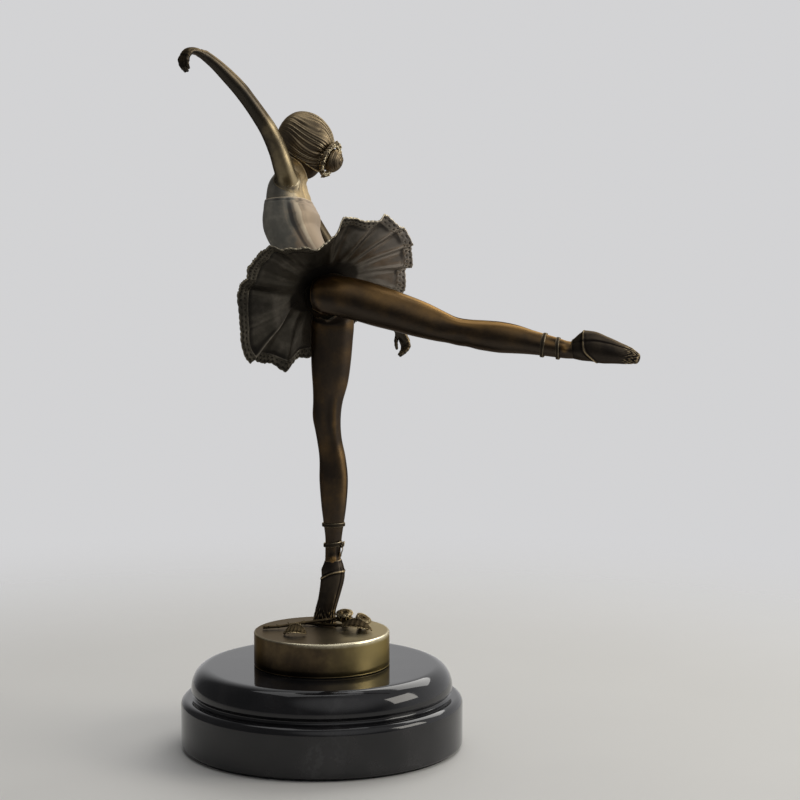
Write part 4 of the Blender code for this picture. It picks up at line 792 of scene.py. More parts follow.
def strand(path, radius, sides=10, count=60, taper=1.0, hint=(0.0, 0.0, 1.0)):
    """A round wire along a path, its radius falling to taper of itself at the far end."""
    centre = spline(path, count)
    _, side, front = frames(centre, hint)
    a = TURN * np.arange(sides) / sides
    r = radius * np.linspace(1, taper, count)[:, None, None]
    grid = centre[:, None] + r * (np.cos(a)[None, :, None] * side[:, None] + np.sin(a)[None, :, None]
                                  * front[:, None])
    return capped(grid)


def beside_skirt(grid, way):
    """Bring points back to their own side of the flat ring of the skirt: way is 1 above, -1 below."""
    up = way * skirt_axes()[2]
    short = SKIRT_T / 2 + GAP - (grid - SKIRT_CENTRE) @ up
    return grid + np.maximum(short, 0.0)[..., None] * up


def build_legs():
    """Legs, hips, pointe shoes, ribbons and bow, each a form round its own stations or path."""
    standing = Limb(STANDING_LEG, SIDE_OF_STANDING, 170)
    raised = Limb(RAISED_LEG, SIDE_OF_RAISED, 190)
    hips = Limb(PELVIS, LEFT, 60)
    hipline = (standing, raised, hips)
    piece("standing_limb", capped(standing.surface(72, 1.2, standing_relief, hipline)), SKIN,
          ["standing_leg"])
    piece("raised_limb", capped(raised.surface(72, 1.2, raised_relief, hipline)), SKIN,
          ["raised_leg"])
    piece("hips", capped(beside_skirt(hips.surface(96, 1.0, None, hipline), -1.0)), HIPS,
          ["pelvis"])
    shoe = Limb(STANDING_SHOE, SIDE_OF_STANDING, 120)
    seams = shoe_relief(90.0, 270.0)
    piece("standing_pointe_shoe", capped(shoe.surface(112, 0.7, seams)), SHOE,
          ["standing_shoe"], edge_size=0.08)
    shoe = Limb(RAISED_SHOE, SIDE_OF_RAISED, 120)
    piece("raised_pointe_shoe", capped(shoe.surface(112, 1.6, seams)), SHOE,
          ["raised_shoe"], edge_size=0.08)
    for name, rows, side, at, width, tilt, spin in (
            ("standing_ribbon_upper", STANDING_LEG, SIDE_OF_STANDING, 0.345, 2.1, 0.3, 0.4),
            ("standing_ribbon_lower", STANDING_LEG, SIDE_OF_STANDING, 0.262, 2.3, 0.9, 0.0),
            ("raised_ribbon_upper", RAISED_LEG, SIDE_OF_RAISED, 0.262, 2.0, 0.3, 0.6),
            ("raised_ribbon_lower", RAISED_LEG, SIDE_OF_RAISED, 0.205, 1.9, 0.9, 0.0)):
        piece(f"{name}_winding", winding(rows, side, at, width, RIBBON_T, tilt, spin), TRIM,
              [name], edge_size=0.06, rounds=4)
    # tied bow at the heel tendon: two loops, two tails and the wrap between them
    wrap = [(-0.3, -0.9, 1.3), (0.7, -0.2, 0.0), (-0.3, 0.9, -1.3)]
    parts = [tape(BOW_AT + wrap, (1.0, 0.3, 0.2), 1.5, 1.1, 14)]
    for s in (-1.0, 1.0):
        loop = [(0.0, 0.0, 0.0), (0.7, 1.3 * s, 1.0), (0.9, 2.8 * s, 1.3), (0.5, 3.0 * s, 0.2),
                (0.2, 1.4 * s, -0.3), (0.0, 0.0, 0.0)]
        parts.append(tape(BOW_AT + loop, (1.0, 0.0, 0.3), 1.5, TAPE_T, 40))
        tail = [(0.0, 0.0, 0.0), (0.4, 0.9 * s, -2.2), (-0.3, 1.6 * s, -4.4), (-0.5, 1.8 * s, -6.0)]
        parts.append(tape(BOW_AT + tail, (0.3, 1.0, 0.0), 1.4, TAPE_T, 30))
    piece("heel_bow", merged(parts), TRIM, ["ribbon_knot"], edge_size=0.06, rounds=4)


# ---- trunk, arms and hands -----------------------------------------------------------------------
def trunk_relief(t, a):
    """Breasts in front, the groove of the spine, and the long ridge and groove from armpit to waist."""
    r = swell(t, a, 0.60, -52, 0.16, 26, 1.1) + swell(t, a, 0.60, -128, 0.16, 26, 1.1)
    r += swell(t, a, 0.55, -90, 0.30, 12, -0.6)
    r += swell(t, a, 0.45, 90, 0.50, 12, -0.15)
    for side in (90 - RIDGE_AT, 90 + RIDGE_AT):
        r += swell(t, a, 0.62, side, 0.50, 8, 0.34)
    for side in (90 - RIDGE_AT - 15, 90 + RIDGE_AT + 15):
        r += swell(t, a, 0.60, side, 0.50, 6, -0.30)
    r += swell(t, a, 0.95, 90 - 30, 0.22, 16, 0.4) + swell(t, a, 0.95, 90 + 30, 0.22, 16, 0.4)
    return r


def bodice_relief(t, a):
    """The trunk's own shape, boning seams and a thin turned edge at the neckline."""
    r = trunk_relief(t, a)
    for seam in (-58, -122):
        r += swell(t, a, 0.5, seam, 0.42, 2.2, -0.10)
    r += 0.05 * np.exp(-((t - 0.975) / 0.012) ** 2) - 0.06 * np.exp(-((t - 0.945) / 0.012) ** 2)
    return r


def bust_relief(t, a):
    """Collar bones, the notch between them, neck cords, shoulder blades and spine."""
    r = swell(t, a, 0.52, -62, 0.035, 26, 0.45) + swell(t, a, 0.52, -118, 0.035, 26, 0.45)
    r += swell(t, a, 0.58, -90, 0.03, 10, -0.55)
    r += swell(t, a, 0.74, -52, 0.14, 10, 0.40) + swell(t, a, 0.74, -128, 0.14, 10, 0.40)
    r += swell(t, a, 0.40, 90, 0.22, 9, -0.5)
    r += swell(t, a, 0.36, 58, 0.14, 16, 0.5) + swell(t, a, 0.36, 122, 0.14, 16, 0.5)
    r += swell(t, a, 0.2, 44, 0.3, 9, 0.45) + swell(t, a, 0.2, 136, 0.3, 9, 0.45)
    return r


def arm_relief(t, a):
    """Upper-arm muscle, elbow with its two hollows, and the wrist bone."""
    r = swell(t, a, 0.30, -90, 0.13, 42, 0.25) + swell(t, a, 0.30, 90, 0.14, 42, 0.20)
    r += swell(t, a, 0.60, 90, 0.03, 24, 0.30) + swell(t, a, 0.60, 50, 0.03, 18, -0.18)
    r += swell(t, a, 0.60, 130, 0.03, 18, -0.18) + swell(t, a, 0.68, -60, 0.10, 40, 0.20)
    return r + swell(t, a, 0.93, 90, 0.02, 30, 0.25)


def finger_relief(t, _):
    """Two knuckles that stand a little proud, a hollow under each joint and a nail bed."""
    r = 0.14 * np.exp(-((t - 0.40) / 0.07) ** 2) + 0.12 * np.exp(-((t - 0.70) / 0.06) ** 2)
    return r - 0.05 * np.exp(-((t - 0.55) / 0.08) ** 2)


def hand(palm_rows, side, faces, arm):
    """Palm and five digits, each flowing into the next and into the arm."""
    wrist = Limb(palm_rows, side, 40)
    along, across, front, root = wrist.tangent[-1], wrist.side[-1], wrist.front[-1], wrist.centre[-1]
    palm = Limb(palm_rows, side, 60)
    digits = []
    for k, path in enumerate((*FINGERS, THUMB)):
        points = [root + a * across + b * along + c * faces * front for a, b, c in path]
        radii = np.linspace(1.32, 0.82, len(points)) * (0.9 if k in (0, 3) else 1.0)
        digits.append(Limb([(*p, r, r * 0.94) for p, r in zip(points, radii)], side, 44))
    family = (palm, *digits)
    parts = [capped(palm.surface(48, 1.0, None, (*family, arm), 1.0))]
    parts += [capped(d.surface(22, 0.85, finger_relief, family, 0.55)) for d in digits]
    return parts


def build_trunk(head_ball):
    """Bodice, shoulders with the neck, and arms with their hands, flowing into one another."""
    bodice = Limb(BODICE, LEFT, 150)
    piece("fitted_bodice", capped(beside_skirt(bodice.surface(160, 0.35, bodice_relief), 1.0)),
          BODICE_FINISH, ["bodice"], edge_size=0.10)
    bust = Limb(BUST, LEFT, 130)
    left = Limb(LEFT_ARM, LEFT_PALM_SIDE, 150)
    right = Limb(RIGHT_ARM, RIGHT_PALM_SIDE, 150)
    shoulders = (bust, left, right, head_ball)
    piece("shoulders_and_neck", capped(bust.surface(128, 1.0, bust_relief, shoulders)),
          BUST_FINISH, ["bust"], edge_size=0.25)
    for name, arm, rows, side, faces, finish in (
            ("left_arm", left, LEFT_PALM, LEFT_PALM_SIDE, LEFT_PALM_FACES, RAISED_ARM),
            ("right_arm", right, RIGHT_PALM, RIGHT_PALM_SIDE, RIGHT_PALM_FACES, LOWERED_ARM)):
        parts = hand(rows, side, faces, arm)
        parts.append(capped(arm.surface(56, 1.0, arm_relief, shoulders)))
        piece(f"{name}_and_hand", merged(parts), finish, [name], edge_size=0.4)


# ---- head ----------------------------------------------------------------------------------------
def head_axes():
    """Forward, left and up of the head."""
    up = unit(HEAD_UP)
    front = unit(FACING - FACING.dot(up) * up)
    return np.array([front, np.cross(up, front), up])


def skull_radius(d):
    """Reach of the head without its features: an egg with a narrower jaw and a fuller back."""
    x, y, z = d[..., 0], d[..., 1], d[..., 2]
    length, width, height = SKULL
    jaw = np.clip(-z, 0.0, 1.0)
    wide = width * (1.0 - 0.30 * jaw ** 2)
    long = np.where(x > 0, length * 0.98, length * (1.16 - 0.30 * jaw))
    return 1.0 / np.sqrt((x / long) ** 2 + (y / wide) ** 2 + (z / height) ** 2)


def hill(y, z, at_y, at_z, wide, high, height):
    """height * exp(-((|y|-at_y)/wide)^2 - ((z-at_z)/high)^2), the same on both sides."""
    return height * np.exp(-((np.abs(y) - at_y) / wide) ** 2 - ((z - at_z) / high) ** 2)


def face_relief(y, z):
    """How far the face stands forward over the skull at (y, z) mm: features set out by thirds.

    Brow, base of nose and chin divide hairline to chin in three; the eyes sit at half height, one
    eye's width apart; the mouth is a third of the way from nose to chin.
    """
    f = hill(y, z, 4.6, 2.9, 3.2, 1.0, 0.55) + hill(y, z, 0.0, 3.2, 2.2, 1.6, 0.30)
    f += hill(y, z, 4.5, -0.4, 2.5, 1.9, -1.35)
    ball = np.sqrt(np.clip(1.0 - ((np.abs(y) - 4.45) / 2.35) ** 2 - ((z + 0.35) / 1.9) ** 2, 0, 1))
    f += 1.15 * ball
    share = ((np.abs(y) - 4.45) / 2.25) ** 2
    upper = 0.55 * (1 - share) - 0.25
    lower = -1.10 * (1 - share) - 0.25 + 0.15
    inside = (share < 1.0) * smooth(upper - z, 0.0, 0.14) * smooth(z - lower, 0.0, 0.14)
    f -= 0.26 * inside
    near = np.exp(-np.clip(share, 0, 4) ** 2)
    f -= 0.22 * near * np.exp(-((z - upper - 0.95) / 0.20) ** 2)
    f += 0.16 * near * np.exp(-((z - upper - 0.18) / 0.16) ** 2)
    f -= 0.10 * near * np.exp(-((z - lower + 0.75) / 0.25) ** 2)
    down = np.clip((2.0 - z) / 8.2, 0, 1)
    bridge = smooth(z, -8.2, -6.4) * (1 - smooth(z, 1.0, 3.6))
    f += bridge * (0.7 + 2.6 * down ** 1.2) * np.exp(-(y / (1.15 + 0.75 * down ** 3)) ** 2)
    f += hill(y, z, 1.75, -6.7, 0.75, 0.85, 1.10) + hill(y, z, 0.9, -7.75, 0.45, 0.35, -0.55)
    f += hill(y, z, 0.0, -8.8, 0.45, 0.9, -0.15) + hill(y, z, 0.65, -8.9, 0.3, 0.9, 0.10)
    f += hill(y, z, 0.9, -10.0, 1.6, 0.55, 0.75) + hill(y, z, 0.0, -11.5, 2.1, 0.65, 0.90)
    line = -10.72 + 0.12 * np.cos(y * 1.4)
    f -= 0.55 * np.exp(-((z - line) / 0.20) ** 2) * np.exp(-(y / 3.1) ** 4)
    f += hill(y, z, 3.5, -10.7, 0.55, 0.55, -0.35) + hill(y, z, 0.0, -13.0, 2.2, 0.75, -0.45)
    f += hill(y, z, 0.0, -15.3, 2.6, 1.7, 0.95)
    f += hill(y, z, 7.2, -3.8, 2.4, 2.2, 0.55) + hill(y, z, 6.6, -9.4, 2.2, 2.6, -0.30)
    return f


def head_point(d):
    """Head-axis position in mm of unit directions d: skull, then the face pushed forward."""
    p = d * skull_radius(d)[..., None]
    ahead = smooth(d[..., 0], 0.15, 0.55)
    p[..., 0] += ahead * face_relief(p[..., 1], p[..., 2])
    jaw = np.exp(-((np.abs(p[..., 1]) - 8.0) / 2.4) ** 2 - ((p[..., 2] + 9.0) / 3.2) ** 2
                 - ((p[..., 0] - 1.5) / 4.5) ** 2)
    p[..., 1] += np.sign(p[..., 1]) * 0.55 * jaw
    return p


def build_head(axes):
    """Skull and face on a grid of turns u and polar angles v, drawn together in front; and two ears."""
    u = np.linspace(-math.pi, math.pi, 300, endpoint=False)
    around = u - 0.62 * np.sin(u)                       # closer together in front, at angle 0
    v = np.linspace(0.01, math.pi - 0.01, 230)
    polar = (v + 0.20 * np.sin(2 * v))[:, None]
    d = np.stack([np.sin(polar) * np.cos(around), np.sin(polar) * np.sin(around),
                  np.cos(polar) + 0 * around], -1)
    grid = HEAD_CENTRE + head_point(d) @ axes
    parts = [capped(grid), ear(-1.0, axes), ear(1.0, axes)]
    piece("head_and_face", merged(parts), SKIN, ["head"], edge_size=0.09)


def ear(s, axes):
    """An ear as a shallow cupped oval: rolled outer rim, inner fold, hollow and lobe."""
    a = TURN * np.arange(56) / 56
    rings = []
    for rho in np.linspace(0.04, 1.0, 20):
        tall = 3.9 + 0.5 * np.cos(a)
        wide = 2.2 + 0.45 * np.sin(a + 0.5)
        z = tall * np.sin(a) * rho
        x = wide * np.cos(a) * rho
        rim = 0.95 * math.exp(-((rho - 0.86) / 0.13) ** 2) * smooth(np.sin(a + 0.5), -1.0, -0.2)
        fold = 0.45 * math.exp(-((rho - 0.52) / 0.10) ** 2) * (0.5 + 0.5 * np.sin(a))
        cup = -0.5 * math.exp(-(rho / 0.36) ** 2)
        tragus = 0.55 * np.exp(-((x - 1.4) / 0.5) ** 2 - ((z + 0.8) / 0.7) ** 2)
        lobe = 0.35 * np.exp(-((z + 3.0) / 0.9) ** 2)
        rings.append(np.stack([x, 1.0 + rim + fold + cup + tragus + lobe, z], -1))
    for rho, depth in ((1.04, 0.5), (0.98, 0.0), (0.75, -0.5), (0.4, -0.9), (0.05, -1.0)):
        rings.append(np.stack([(2.2 + 0.45 * np.sin(a + 0.5)) * np.cos(a) * rho, depth + 0 * a,
                               (3.9 + 0.5 * np.cos(a)) * np.sin(a) * rho], -1))
    grid = np.array(rings)
    x, y, z = grid[..., 0], grid[..., 1], grid[..., 2]
    lean = 0.20
    local = np.stack([-0.4 + x * math.cos(lean) + z * math.sin(lean) - 0.25 * y,
                      s * (10.7 + y * 0.9 - 0.22 * x), -2.8 + z * math.cos(lean) - 0.1 * x], -1)
    return capped(HEAD_CENTRE + local @ axes)


def hair_height(d):
    """Cover of the hair over the skull: 1 inside the hairline, 0 outside.

    The line runs over the forehead a third above the brow, back across the temple, over the ear's
    top half and down to the nape.
    """
    x, y, z = d[..., 0], np.abs(d[..., 1]), d[..., 2]
    front_line = 0.60 - 0.10 * y - 0.65 * y ** 4
    line = front_line + (-0.95 - front_line) * smooth(-x, -0.42, 0.62)
    line = line + 0.05 * np.sin(26 * y) * np.exp(-((x - 0.5) / 0.4) ** 2) * 0.3
    return smooth(z - line, -0.045, 0.075)


def build_hair(axes):
    """Hair swept to a low bun: grooves follow the turns about the bun's axis, so that they meet there.

    The bun is an ellipsoid grooved by a spiral, inside a wreath of three plaited strands.
    """
    pole = unit(BUN_AT)
    over = unit(np.array([pole[2], 0.0, -pole[0]]))
    aside = np.cross(pole, over)
    a = TURN * np.arange(620) / 620
    polar = np.linspace(0.05, math.pi - 0.02, 120)[:, None]
    d = np.cos(polar)[..., None] * pole + (np.sin(polar) * np.cos(a))[..., None] * over \
        + (np.sin(polar) * np.sin(a))[..., None] * aside
    cover = hair_height(d)
    sway = a + 0.16 * np.sin(2.3 * polar + 2 * a) + 0.05 * np.sin(7 * a)
    comb = 0.5 + 0.5 * np.cos(61 * sway + 1.3 * np.sin(3 * a))
    lock = 0.5 + 0.5 * np.cos(23 * sway + 1.6 * np.sin(5 * a + polar))
    rear = smooth(-d[..., 0], -0.25, 0.45)
    groove = (0.05 + 0.17 * rear) * (1 - comb) + (0.06 + 0.42 * rear) * (1 - lock ** 0.6)
    height = 2.1 * cover - 0.75 * (1 - cover) - cover * groove
    r = skull_radius(d) + height
    grid = HEAD_CENTRE + (d * r[..., None]) @ axes
    piece("swept_hair", capped(grid), HAIR, ["hair_cap"], edge_size=0.10, rounds=6)

    bun_at = HEAD_CENTRE + BUN_AT @ axes
    back = pole @ axes
    left = axes[1]
    down = np.cross(back, left)
    v = np.linspace(0.03, math.pi - 0.03, 90)[:, None]
    u = TURN * np.arange(180) / 180
    coil = 0.5 + 0.5 * np.cos(9 * v + 2 * u + 0.6 * np.sin(3 * u))
    comb = np.cos(30 * v + 7 * u) * 0.5 + 0.5
    shell = 1.0 - 0.055 * (1 - coil ** 0.5) - 0.02 * (1 - comb)
    grid = bun_at + (BUN_R[0] * np.cos(v) * shell)[..., None] * back \
        + (BUN_R[1] * np.sin(v) * np.cos(u) * shell)[..., None] * left \
        + (BUN_R[2] * np.sin(v) * np.sin(u) * shell)[..., None] * down
    piece("coiled_bun", capped(grid), HAIR, ["hair_bun"], edge_size=0.10, rounds=6)

    # wreath: three strands plaited round a ring, with small five-petalled flowers set on it
    ring_at = bun_at - 0.30 * BUN_R[0] * back
    reach = BUN_R[2] + GAP + 1.6
    t = TURN * np.arange(420) / 420
    out = np.cos(t)[:, None] * left + np.sin(t)[:, None] * down
    parts = []
    for k in range(STRANDS):
        phase = BLOSSOMS * t + TURN * k / STRANDS
        path = ring_at + (reach + 0.75 * np.sin(phase))[:, None] * out \
            + (0.55 * np.sin(2 * phase))[:, None] * back
        tangent = unit(np.roll(path, -1, 0) - np.roll(path, 1, 0))
        side = unit(np.cross(tangent, back))
        front = np.cross(tangent, side)
        c = TURN * np.arange(8) / 8
        grid = path[:, None] + 0.72 * (np.cos(c)[None, :, None] * side[:, None]
                                       + np.sin(c)[None, :, None] * front[:, None])
        parts.append(ringed(grid))
    for k in range(BLOSSOMS):
        turn = TURN * (k + 0.3) / BLOSSOMS
        way = math.cos(turn) * left + math.sin(turn) * down
        face = unit(0.8 * way + 0.6 * back)
        parts.append(blossom(ring_at + (reach + 0.9) * way + 0.6 * back, face, 1.35 + 0.2 * (k % 3)))
    piece("flower_wreath", merged(parts), HAIR, ["hair_garland"], edge_size=0.08, rounds=3)


def blossom(at, axis, size):
    """A small five-petalled flower: a cup whose radius and height follow |cos(5a/2)|."""
    side = unit(np.cross(axis, (0.31, 0.52, 0.79)))
    other = np.cross(axis, side)
    a = TURN * np.arange(30) / 30
    petal = 0.72 + 0.28 * np.abs(np.cos(2.5 * a))
    rings = []
    for r, h in ((0.12, 0.30), (0.28, 0.34), (0.42, 0.12), (0.75, 0.28), (1.0, 0.40), (0.9, 0.10),
                 (0.3, -0.30)):
        rho = size * r * (petal if r > 0.3 else 1.0)
        rings.append(at + (rho * np.cos(a))[:, None] * side + (rho * np.sin(a))[:, None] * other
                     + (size * h * (0.8 + 0.2 * petal))[:, None] * axis)
    return capped(np.array(rings))


# ---- skirt ---------------------------------------------------------------------------------------
def skirt_axes():
    """Front, left and up of the skirt's plane."""
    up = unit(SKIRT_UP)
    front = unit(FACING - FACING.dot(up) * up)
    return front, np.cross(up, front), up


def rim_at(angle):
    """Radius and height of the rim at angles in radians: a closed Catmull-Rom through RIM."""
    rows = np.array(RIM)
    turns = np.radians(np.concatenate([rows[-2:, 0] - 360, rows[:, 0], rows[:3, 0] + 360]))
    values = np.vstack([rows[-2:, 1:], rows[:, 1:], rows[:3, 1:]])
    i = np.clip(np.searchsorted(turns, angle, side="right") - 1, 1, len(turns) - 3)
    u = ((angle - turns[i]) / (turns[i + 1] - turns[i]))[..., None]
    a, b, c, d = (values[i + k] for k in (-1, 0, 1, 2))
    return 0.5 * (2 * b + (c - a) * u + (2 * a - 5 * b + 4 * c - d) * u ** 2
                  + (3 * b - a - 3 * c + d) * u ** 3)


def skirt_fold(angle, reach):
    """Height of the folds at an angle and a reach of 0 to 1 from the waist to the rim.

    Each fold is height * reach^1.2 * exp(-((angle - its line)/width)^2), its line bending towards
    the hub; between them run finer gathers, and one deep tuck drops sharply and fades slowly.
    """
    deg = np.degrees(angle)
    total = np.zeros(np.broadcast(angle, reach).shape)
    for line, width, height, bend in FOLDS:
        off = (deg - (line + bend * np.clip(1 - reach, 0, 1) ** 1.3) + 180) % 360 - 180
        total = total + height * reach ** 1.2 * np.exp(-(off / width) ** 2)
    off = (deg - (TUCK_ANGLE + TUCK_BEND * np.clip(1 - reach, 0, 1) ** 1.2) + 180) % 360 - 180
    drop = smooth(off, -2.2, 2.2) * np.exp(-np.clip(off, 0, 90) / 20)
    total = total - TUCK_HEIGHT * smooth(reach, 0.0, 0.5) * drop
    fine = np.sin(41 * angle + 2.2 * np.sin(5 * angle))
    fine = fine + 0.6 * np.sin(67 * angle + 3 * np.sin(4 * angle) + 3 * reach)
    return total + 0.06 * reach * fine


def skirt_surface(r_share, angle, extra=0.0):
    """Mid surface of the skirt and its lace: share 0 at the hub, 1 at the seam, beyond 1 on the lace."""
    front, left, up = skirt_axes()
    rim = rim_at(angle)
    seam = rim[..., 0] - LACE_W - GAP
    r = SKIRT_HUB_R + (seam - SKIRT_HUB_R) * r_share + extra
    reach = np.clip((r - SKIRT_FLAT_R) / (seam - SKIRT_FLAT_R), 0.0, None)
    h = rim[..., 1] * reach ** 1.5 + skirt_fold(angle, np.clip(reach, 0, 1.1))
    return (SKIRT_CENTRE + (r * np.cos(angle))[..., None] * front + (r * np.sin(angle))[..., None] * left
            + h[..., None] * up), up


def build_skirt():
    """The skirt's mid surface given thickness up and down, and its border of lace."""
    angle = TURN * np.arange(900) / 900
    share = np.concatenate([np.linspace(0, 0.3, 8)[:-1], np.linspace(0.3, 1.0, 40)])[:, None]
    mid, up = skirt_surface(share, angle[None] + 0 * share)
    half = (SKIRT_T / 2 - 0.25 * share - 0.32 * smooth(share, 0.90, 1.0))[..., None]
    wall = np.concatenate([mid + half * up, mid[::-1] - half[::-1] * up])
    piece("gathered_skirt", ringed(wall), DRESS, ["tutu_skirt"], edge_size=0.16, rounds=10)

    # lace: a band that rises out of the seam, two rows of eyelets sunk in it, its edge crimped and scalloped
    count, rows = 2112, 17
    angle = TURN * np.arange(count)[None] / count
    w = np.linspace(0, 1, rows)[:, None]
    scallop = 0.30 * np.abs(np.sin(66 * angle)) * w ** 3 - 0.30
    full = 0.45 + 0.55 * smooth(w, 0.0, 0.22)
    crimp = w ** 1.5 * (0.14 * np.sin(99 * angle + 2 * np.sin(7 * angle)) + 0.75 * np.sin(23 * angle)
                        + 0.40 * np.sin(37 * angle + 1.0))
    mid, up = skirt_surface(1.0 + 0 * w, angle + 0 * w, -1.1 + (LACE_W + 0.85) * w + scallop * w)
    beat = 132 * angle / TURN + 0.5 * (w > 0.5)
    lane = np.where(w > 0.5, w - 0.72, w - 0.34)
    eyelet = np.exp(-(((beat % 1.0) - 0.5) / 0.24) ** 4 - (lane / 0.115) ** 4)
    cord = 0.16 * np.exp(-((w - 0.95) / 0.05) ** 2)
    top = mid + (crimp + 0.46 * full - 0.62 * eyelet + cord)[..., None] * up
    under = mid + (crimp - 0.44 * full + 0.36 * eyelet)[..., None] * up
    piece("lace_border", ringed(np.concatenate([top, under[::-1]])), LACE, ["lace_edge"],
          edge_size=0.14, rounds=5)


# ---- roses ---------------------------------------------------------------------------------------
def petal(at, axis, out, across, size, open_by, lift):
    """One rose petal: a cupped shell, two-sided, its lip curled outwards."""
    u = np.linspace(-1, 1, 11)[None]
    v = np.linspace(0, 1, 9)[:, None]
    wide = size * (0.35 + 0.65 * np.sin(math.pi * (0.12 + 0.62 * v)))
    bend = 0.9 * u
    reach = size * (0.25 + open_by * v ** 1.5 + 0.16 * smooth(v, 0.75, 1.0)) * np.cos(bend * 0.75)
    rise = size * (lift + 1.15 * v - 0.28 * smooth(v, 0.7, 1.0) - 0.10 * u ** 2 * v)
    mid = at + reach[..., None] * out + (wide * np.sin(bend))[..., None] * across + rise[..., None] * axis
    du = np.gradient(mid, axis=1)
    dv = np.gradient(mid, axis=0)
    normal = unit(np.cross(du, dv))
    thick = 0.16 + 0.10 * (1 - v)[..., None]
    wall = np.concatenate([mid + thick * normal, (mid - thick * normal)[:, ::-1]], axis=1)
    return capped(wall)


def rose(at, axis, size):
    """Whorls of petals that open from a tight heart, over five sepals and a hip."""
    axis = unit(axis)
    side = unit(np.cross(axis, (0.3, 0.9, 0.1)))
    other = np.cross(axis, side)
    base = np.array(at) + (0, 0, PLINTH_TOP) - 0.75 * size * axis
    parts = []
    for k, (count, reach, grow, lift) in enumerate(WHORLS):
        for n in range(count):
            turn = TURN * (n + 0.37 * k) / count
            out = math.cos(turn) * side + math.sin(turn) * other
            across = np.cross(axis, out)
            parts.append(petal(base, axis, out, across, size * grow, reach, lift))
    for n in range(SEPALS):
        turn = TURN * n / SEPALS + 0.4
        out = math.cos(turn) * side + math.sin(turn) * other
        path = [base + 0.3 * size * out, base + 0.75 * size * out + 0.1 * size * axis,
                base + 1.02 * size * out - 0.05 * size * axis]
        parts.append(strand(path, 0.75, 8, 14, 0.15))
    v = np.linspace(0.1, math.pi - 0.1, 14)[:, None]
    u = TURN * np.arange(20) / 20
    across, rise = 0.36 * size * np.sin(v), 0.42 * size * np.cos(v)
    hip = base + (across * np.cos(u))[..., None] * side + (across * np.sin(u))[..., None] * other \
        + rise[..., None] * axis
    parts.append(capped(hip))
    return merged(parts)


def stem(path, seed):
    """A woody stem: a tube whose radius swells at the buds, with curved thorns."""
    deck = PLINTH_TOP + GAP + STEM_R
    rows = np.array([(x, y, deck + z) for x, y, z in path])
    centre = spline(rows, 120)
    tangent, side, front = frames(centre, (0.0, 0.0, 1.0))
    a = TURN * np.arange(18) / 18
    t = np.linspace(0, 1, 120)
    buds = np.exp(-((t * 4 + seed) % 1 - 0.5) ** 2 / 0.004)
    r = STEM_R * (1.0 + 0.12 * np.sin(19 * t + seed) + 0.25 * buds)
    grid = centre[:, None] + (r[:, None, None]) * (np.cos(a)[None, :, None] * side[:, None]
                                                    + np.sin(a)[None, :, None] * front[:, None])
    parts = [capped(grid)]
    for k in range(THORNS):
        i = 10 + k * 15
        turn = 1.9 * k + seed
        out = math.cos(turn) * front[i] + abs(math.sin(turn)) * side[i]
        foot = centre[i] + 0.6 * STEM_R * out
        parts.append(strand([foot, foot + 0.7 * out, foot + 1.3 * out - 0.5 * tangent[i]], 0.42, 8, 8, 0.12,
                            tangent[i]))
    return merged(parts)


def leaf(start, end, width, seed):
    """A rose leaf: serrated outline, sunk midrib and side veins, arched and slightly folded."""
    start = np.array(start) + (0, 0, PLINTH_TOP)
    end = np.array(end) + (0, 0, PLINTH_TOP)
    along = end - start
    across = unit(np.cross(along, (0.0, 0.0, 1.0)))
    up = np.array([0.0, 0.0, 1.0])
    t = np.linspace(0.012, 0.988, 90)[:, None]
    u = np.linspace(-1, 1, 31)[None]
    teeth = 1.0 - 0.14 * ((t * 13 + 0.1 * seed) % 1.0)
    half = width * np.sin(math.pi * t ** 0.85) ** 0.75 * teeth
    vein = 0.26 * np.cos(2 * math.pi * (t * 6.5 - 0.55 * np.abs(u)))
    arch = np.sin(math.pi * t)
    rise = 1.2 * arch + 0.55 * np.abs(u) * arch + vein * (1 - np.abs(u)) - 0.22 * np.exp(-(u / 0.08) ** 2) \
        + 0.25 * np.sin(5 * t + seed) * u - LEAF_TILT * half * np.minimum(u, 0.0)
    mid = start + t[..., None] * along + (half * u)[..., None] * across + rise[..., None] * up
    thick = (0.32 - 0.14 * np.abs(u) + 0 * t)[..., None]
    wall = np.concatenate([mid + thick * up, (mid - thick * up)[:, ::-1]], axis=1)
    return capped(wall)


def build_roses():
    """Two cut roses and their leaves, lying on the plinth."""
    piece("long_rose_stem", stem(LONG_STEM, 0.6), FLOWER, ["rose_stem_long"], rounds=3)
    piece("short_rose_stem", stem(SHORT_STEM, 2.1), FLOWER, ["rose_stem_short"], rounds=3)
    for k, (at, axis, size) in enumerate(ROSES):
        piece(f"open_rose_{k + 1}", rose(at, axis, size), FLOWER, [f"rose_bloom_{k + 1}"],
              rounds=3)
    for k, (start, end, width) in enumerate(LEAVES):
        piece(f"serrated_leaf_{k + 1}", leaf(start, end, width, 1.0 + k), FLOWER,
              [f"rose_leaf_{k + 1}"], edge_size=0.08, rounds=4)


# ---- room, light and camera ----------------------------------------------------------------------
def build_stage():
    """A round pale board, its height 0 at every angle and radius, that melts into the room at its edge."""
    a = TURN * np.arange(96) / 96
    r = np.linspace(0.0, 1.0, 40)[1:, None] ** 1.5 * FLOOR_R
    grid = np.stack([r * np.cos(a), r * np.sin(a), 0 * r + 0 * a], -1)
    mesh = bpy.data.meshes.new("studio_floor")
    fan = [(len(r) * 96, j, (j + 1) % 96) for j in range(96)]
    points = np.vstack([grid.reshape(-1, 3), (0, 0, 0)])
    mesh.from_pydata(points.tolist(), [], grid_quads(len(r), 96).tolist() + fan)
    mesh.materials.append(floor_finish())
    obj = bpy.data.objects.new("studio_floor", mesh)
    bpy.context.scene.collection.objects.link(obj)


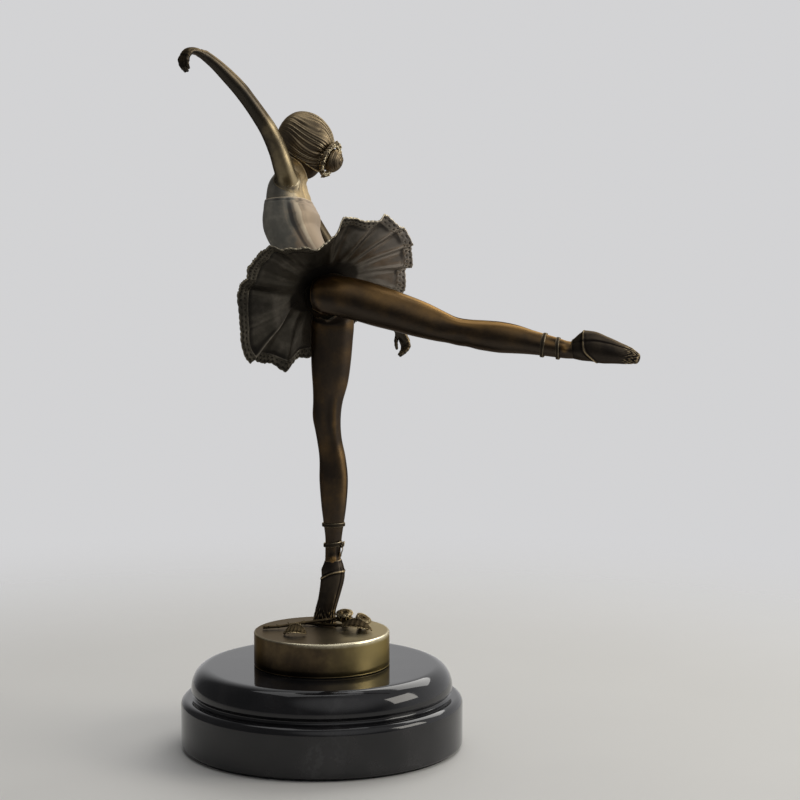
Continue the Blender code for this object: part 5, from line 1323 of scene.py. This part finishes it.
def lamp(name, at, look, size, power, tint=(1.0, 1.0, 1.0)):
    """A soft rectangular lamp; places and size in metres, power in watts."""
    data = bpy.data.lights.new(name, "AREA")
    data.shape = "RECTANGLE"
    data.size, data.size_y = size
    data.energy = power
    data.color = tint
    obj = bpy.data.objects.new(name, data)
    obj.location = at
    way = np.array(look, float) - np.array(at, float)
    obj.rotation_euler = mathutils.Vector(way).to_track_quat("-Z", "Y").to_euler()
    bpy.context.scene.collection.objects.link(obj)


def build_light():
    """A pale room: bright behind the piece and on the right, dim on the viewer's side and the left."""
    world = bpy.data.worlds.new("studio")
    world.use_nodes = True
    room = Graph(world.node_tree)
    way = room.node("ShaderNodeTexCoord", {}, [], "Generated")
    x, y, z = (room.node("ShaderNodeSeparateXYZ", {}, [way], axis) for axis in "XYZ")
    turn = x.sum("ARCTAN2", y)
    glow = turn.rise(-0.80, -0.20) * (1.0 - turn.rise(1.60, 2.30))
    glow = glow * (1.0 - z.rise(0.35, 0.95) * 0.5)
    high = (x * 0.30 + y * -0.68 + z * 0.67).rise(0.70, 1.0)
    room.put(world.node_tree.nodes["Background"].inputs[0], room.mix(glow + high * 0.9, ROOM_DIM, ROOM_PALE))
    bpy.context.scene.world = world
    lamp("window_behind", (0.9, 1.3, 1.5), (0, 0, 0.2), (1.4, 1.0), 13.0, (1.0, 0.985, 0.95))
    lamp("window_right", (1.5, -0.25, 0.75), (0, 0, 0.15), (0.8, 0.7), 8.0, (1.0, 0.96, 0.88))
    lamp("skylight", (-0.2, 0.5, 2.2), (0, 0, 0.2), (1.6, 1.2), 6.0)


def build_camera():
    """A long lens a little above the middle of the piece, looking slightly down."""
    data = bpy.data.cameras.new("view")
    data.sensor_width = 36.0
    data.lens = LENS
    data.clip_end = 50.0
    cam = bpy.data.objects.new("view", data)
    cam.location = EYE
    cam.rotation_euler = (math.radians(EYE_TILT), 0.0, 0.0)
    bpy.context.scene.collection.objects.link(cam)
    bpy.context.scene.camera = cam
    bpy.context.scene.view_settings.view_transform = "Standard"


def finish_fixings():
    """The felt and the hidden fixings keep their CAD shape and get their own finishes."""
    plated, wool = steel(), felt()
    for name in ("mounting_stud", "flat_washer", "spring_washer", "hex_nut", "felt_pad"):
        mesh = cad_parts[name].data
        mesh.materials.clear()
        mesh.materials.append(wool if name == "felt_pad" else plated)


def build():
    """Room first, then the object from its base upwards."""
    build_stage()
    build_light()
    build_camera()
    finish_fixings()
    build_base()
    build_legs()
    axes = head_axes()
    build_trunk(Ball(HEAD_CENTRE, axes, skull_radius))
    build_head(axes)
    build_hair(axes)
    build_skirt()
    build_roses()


build()
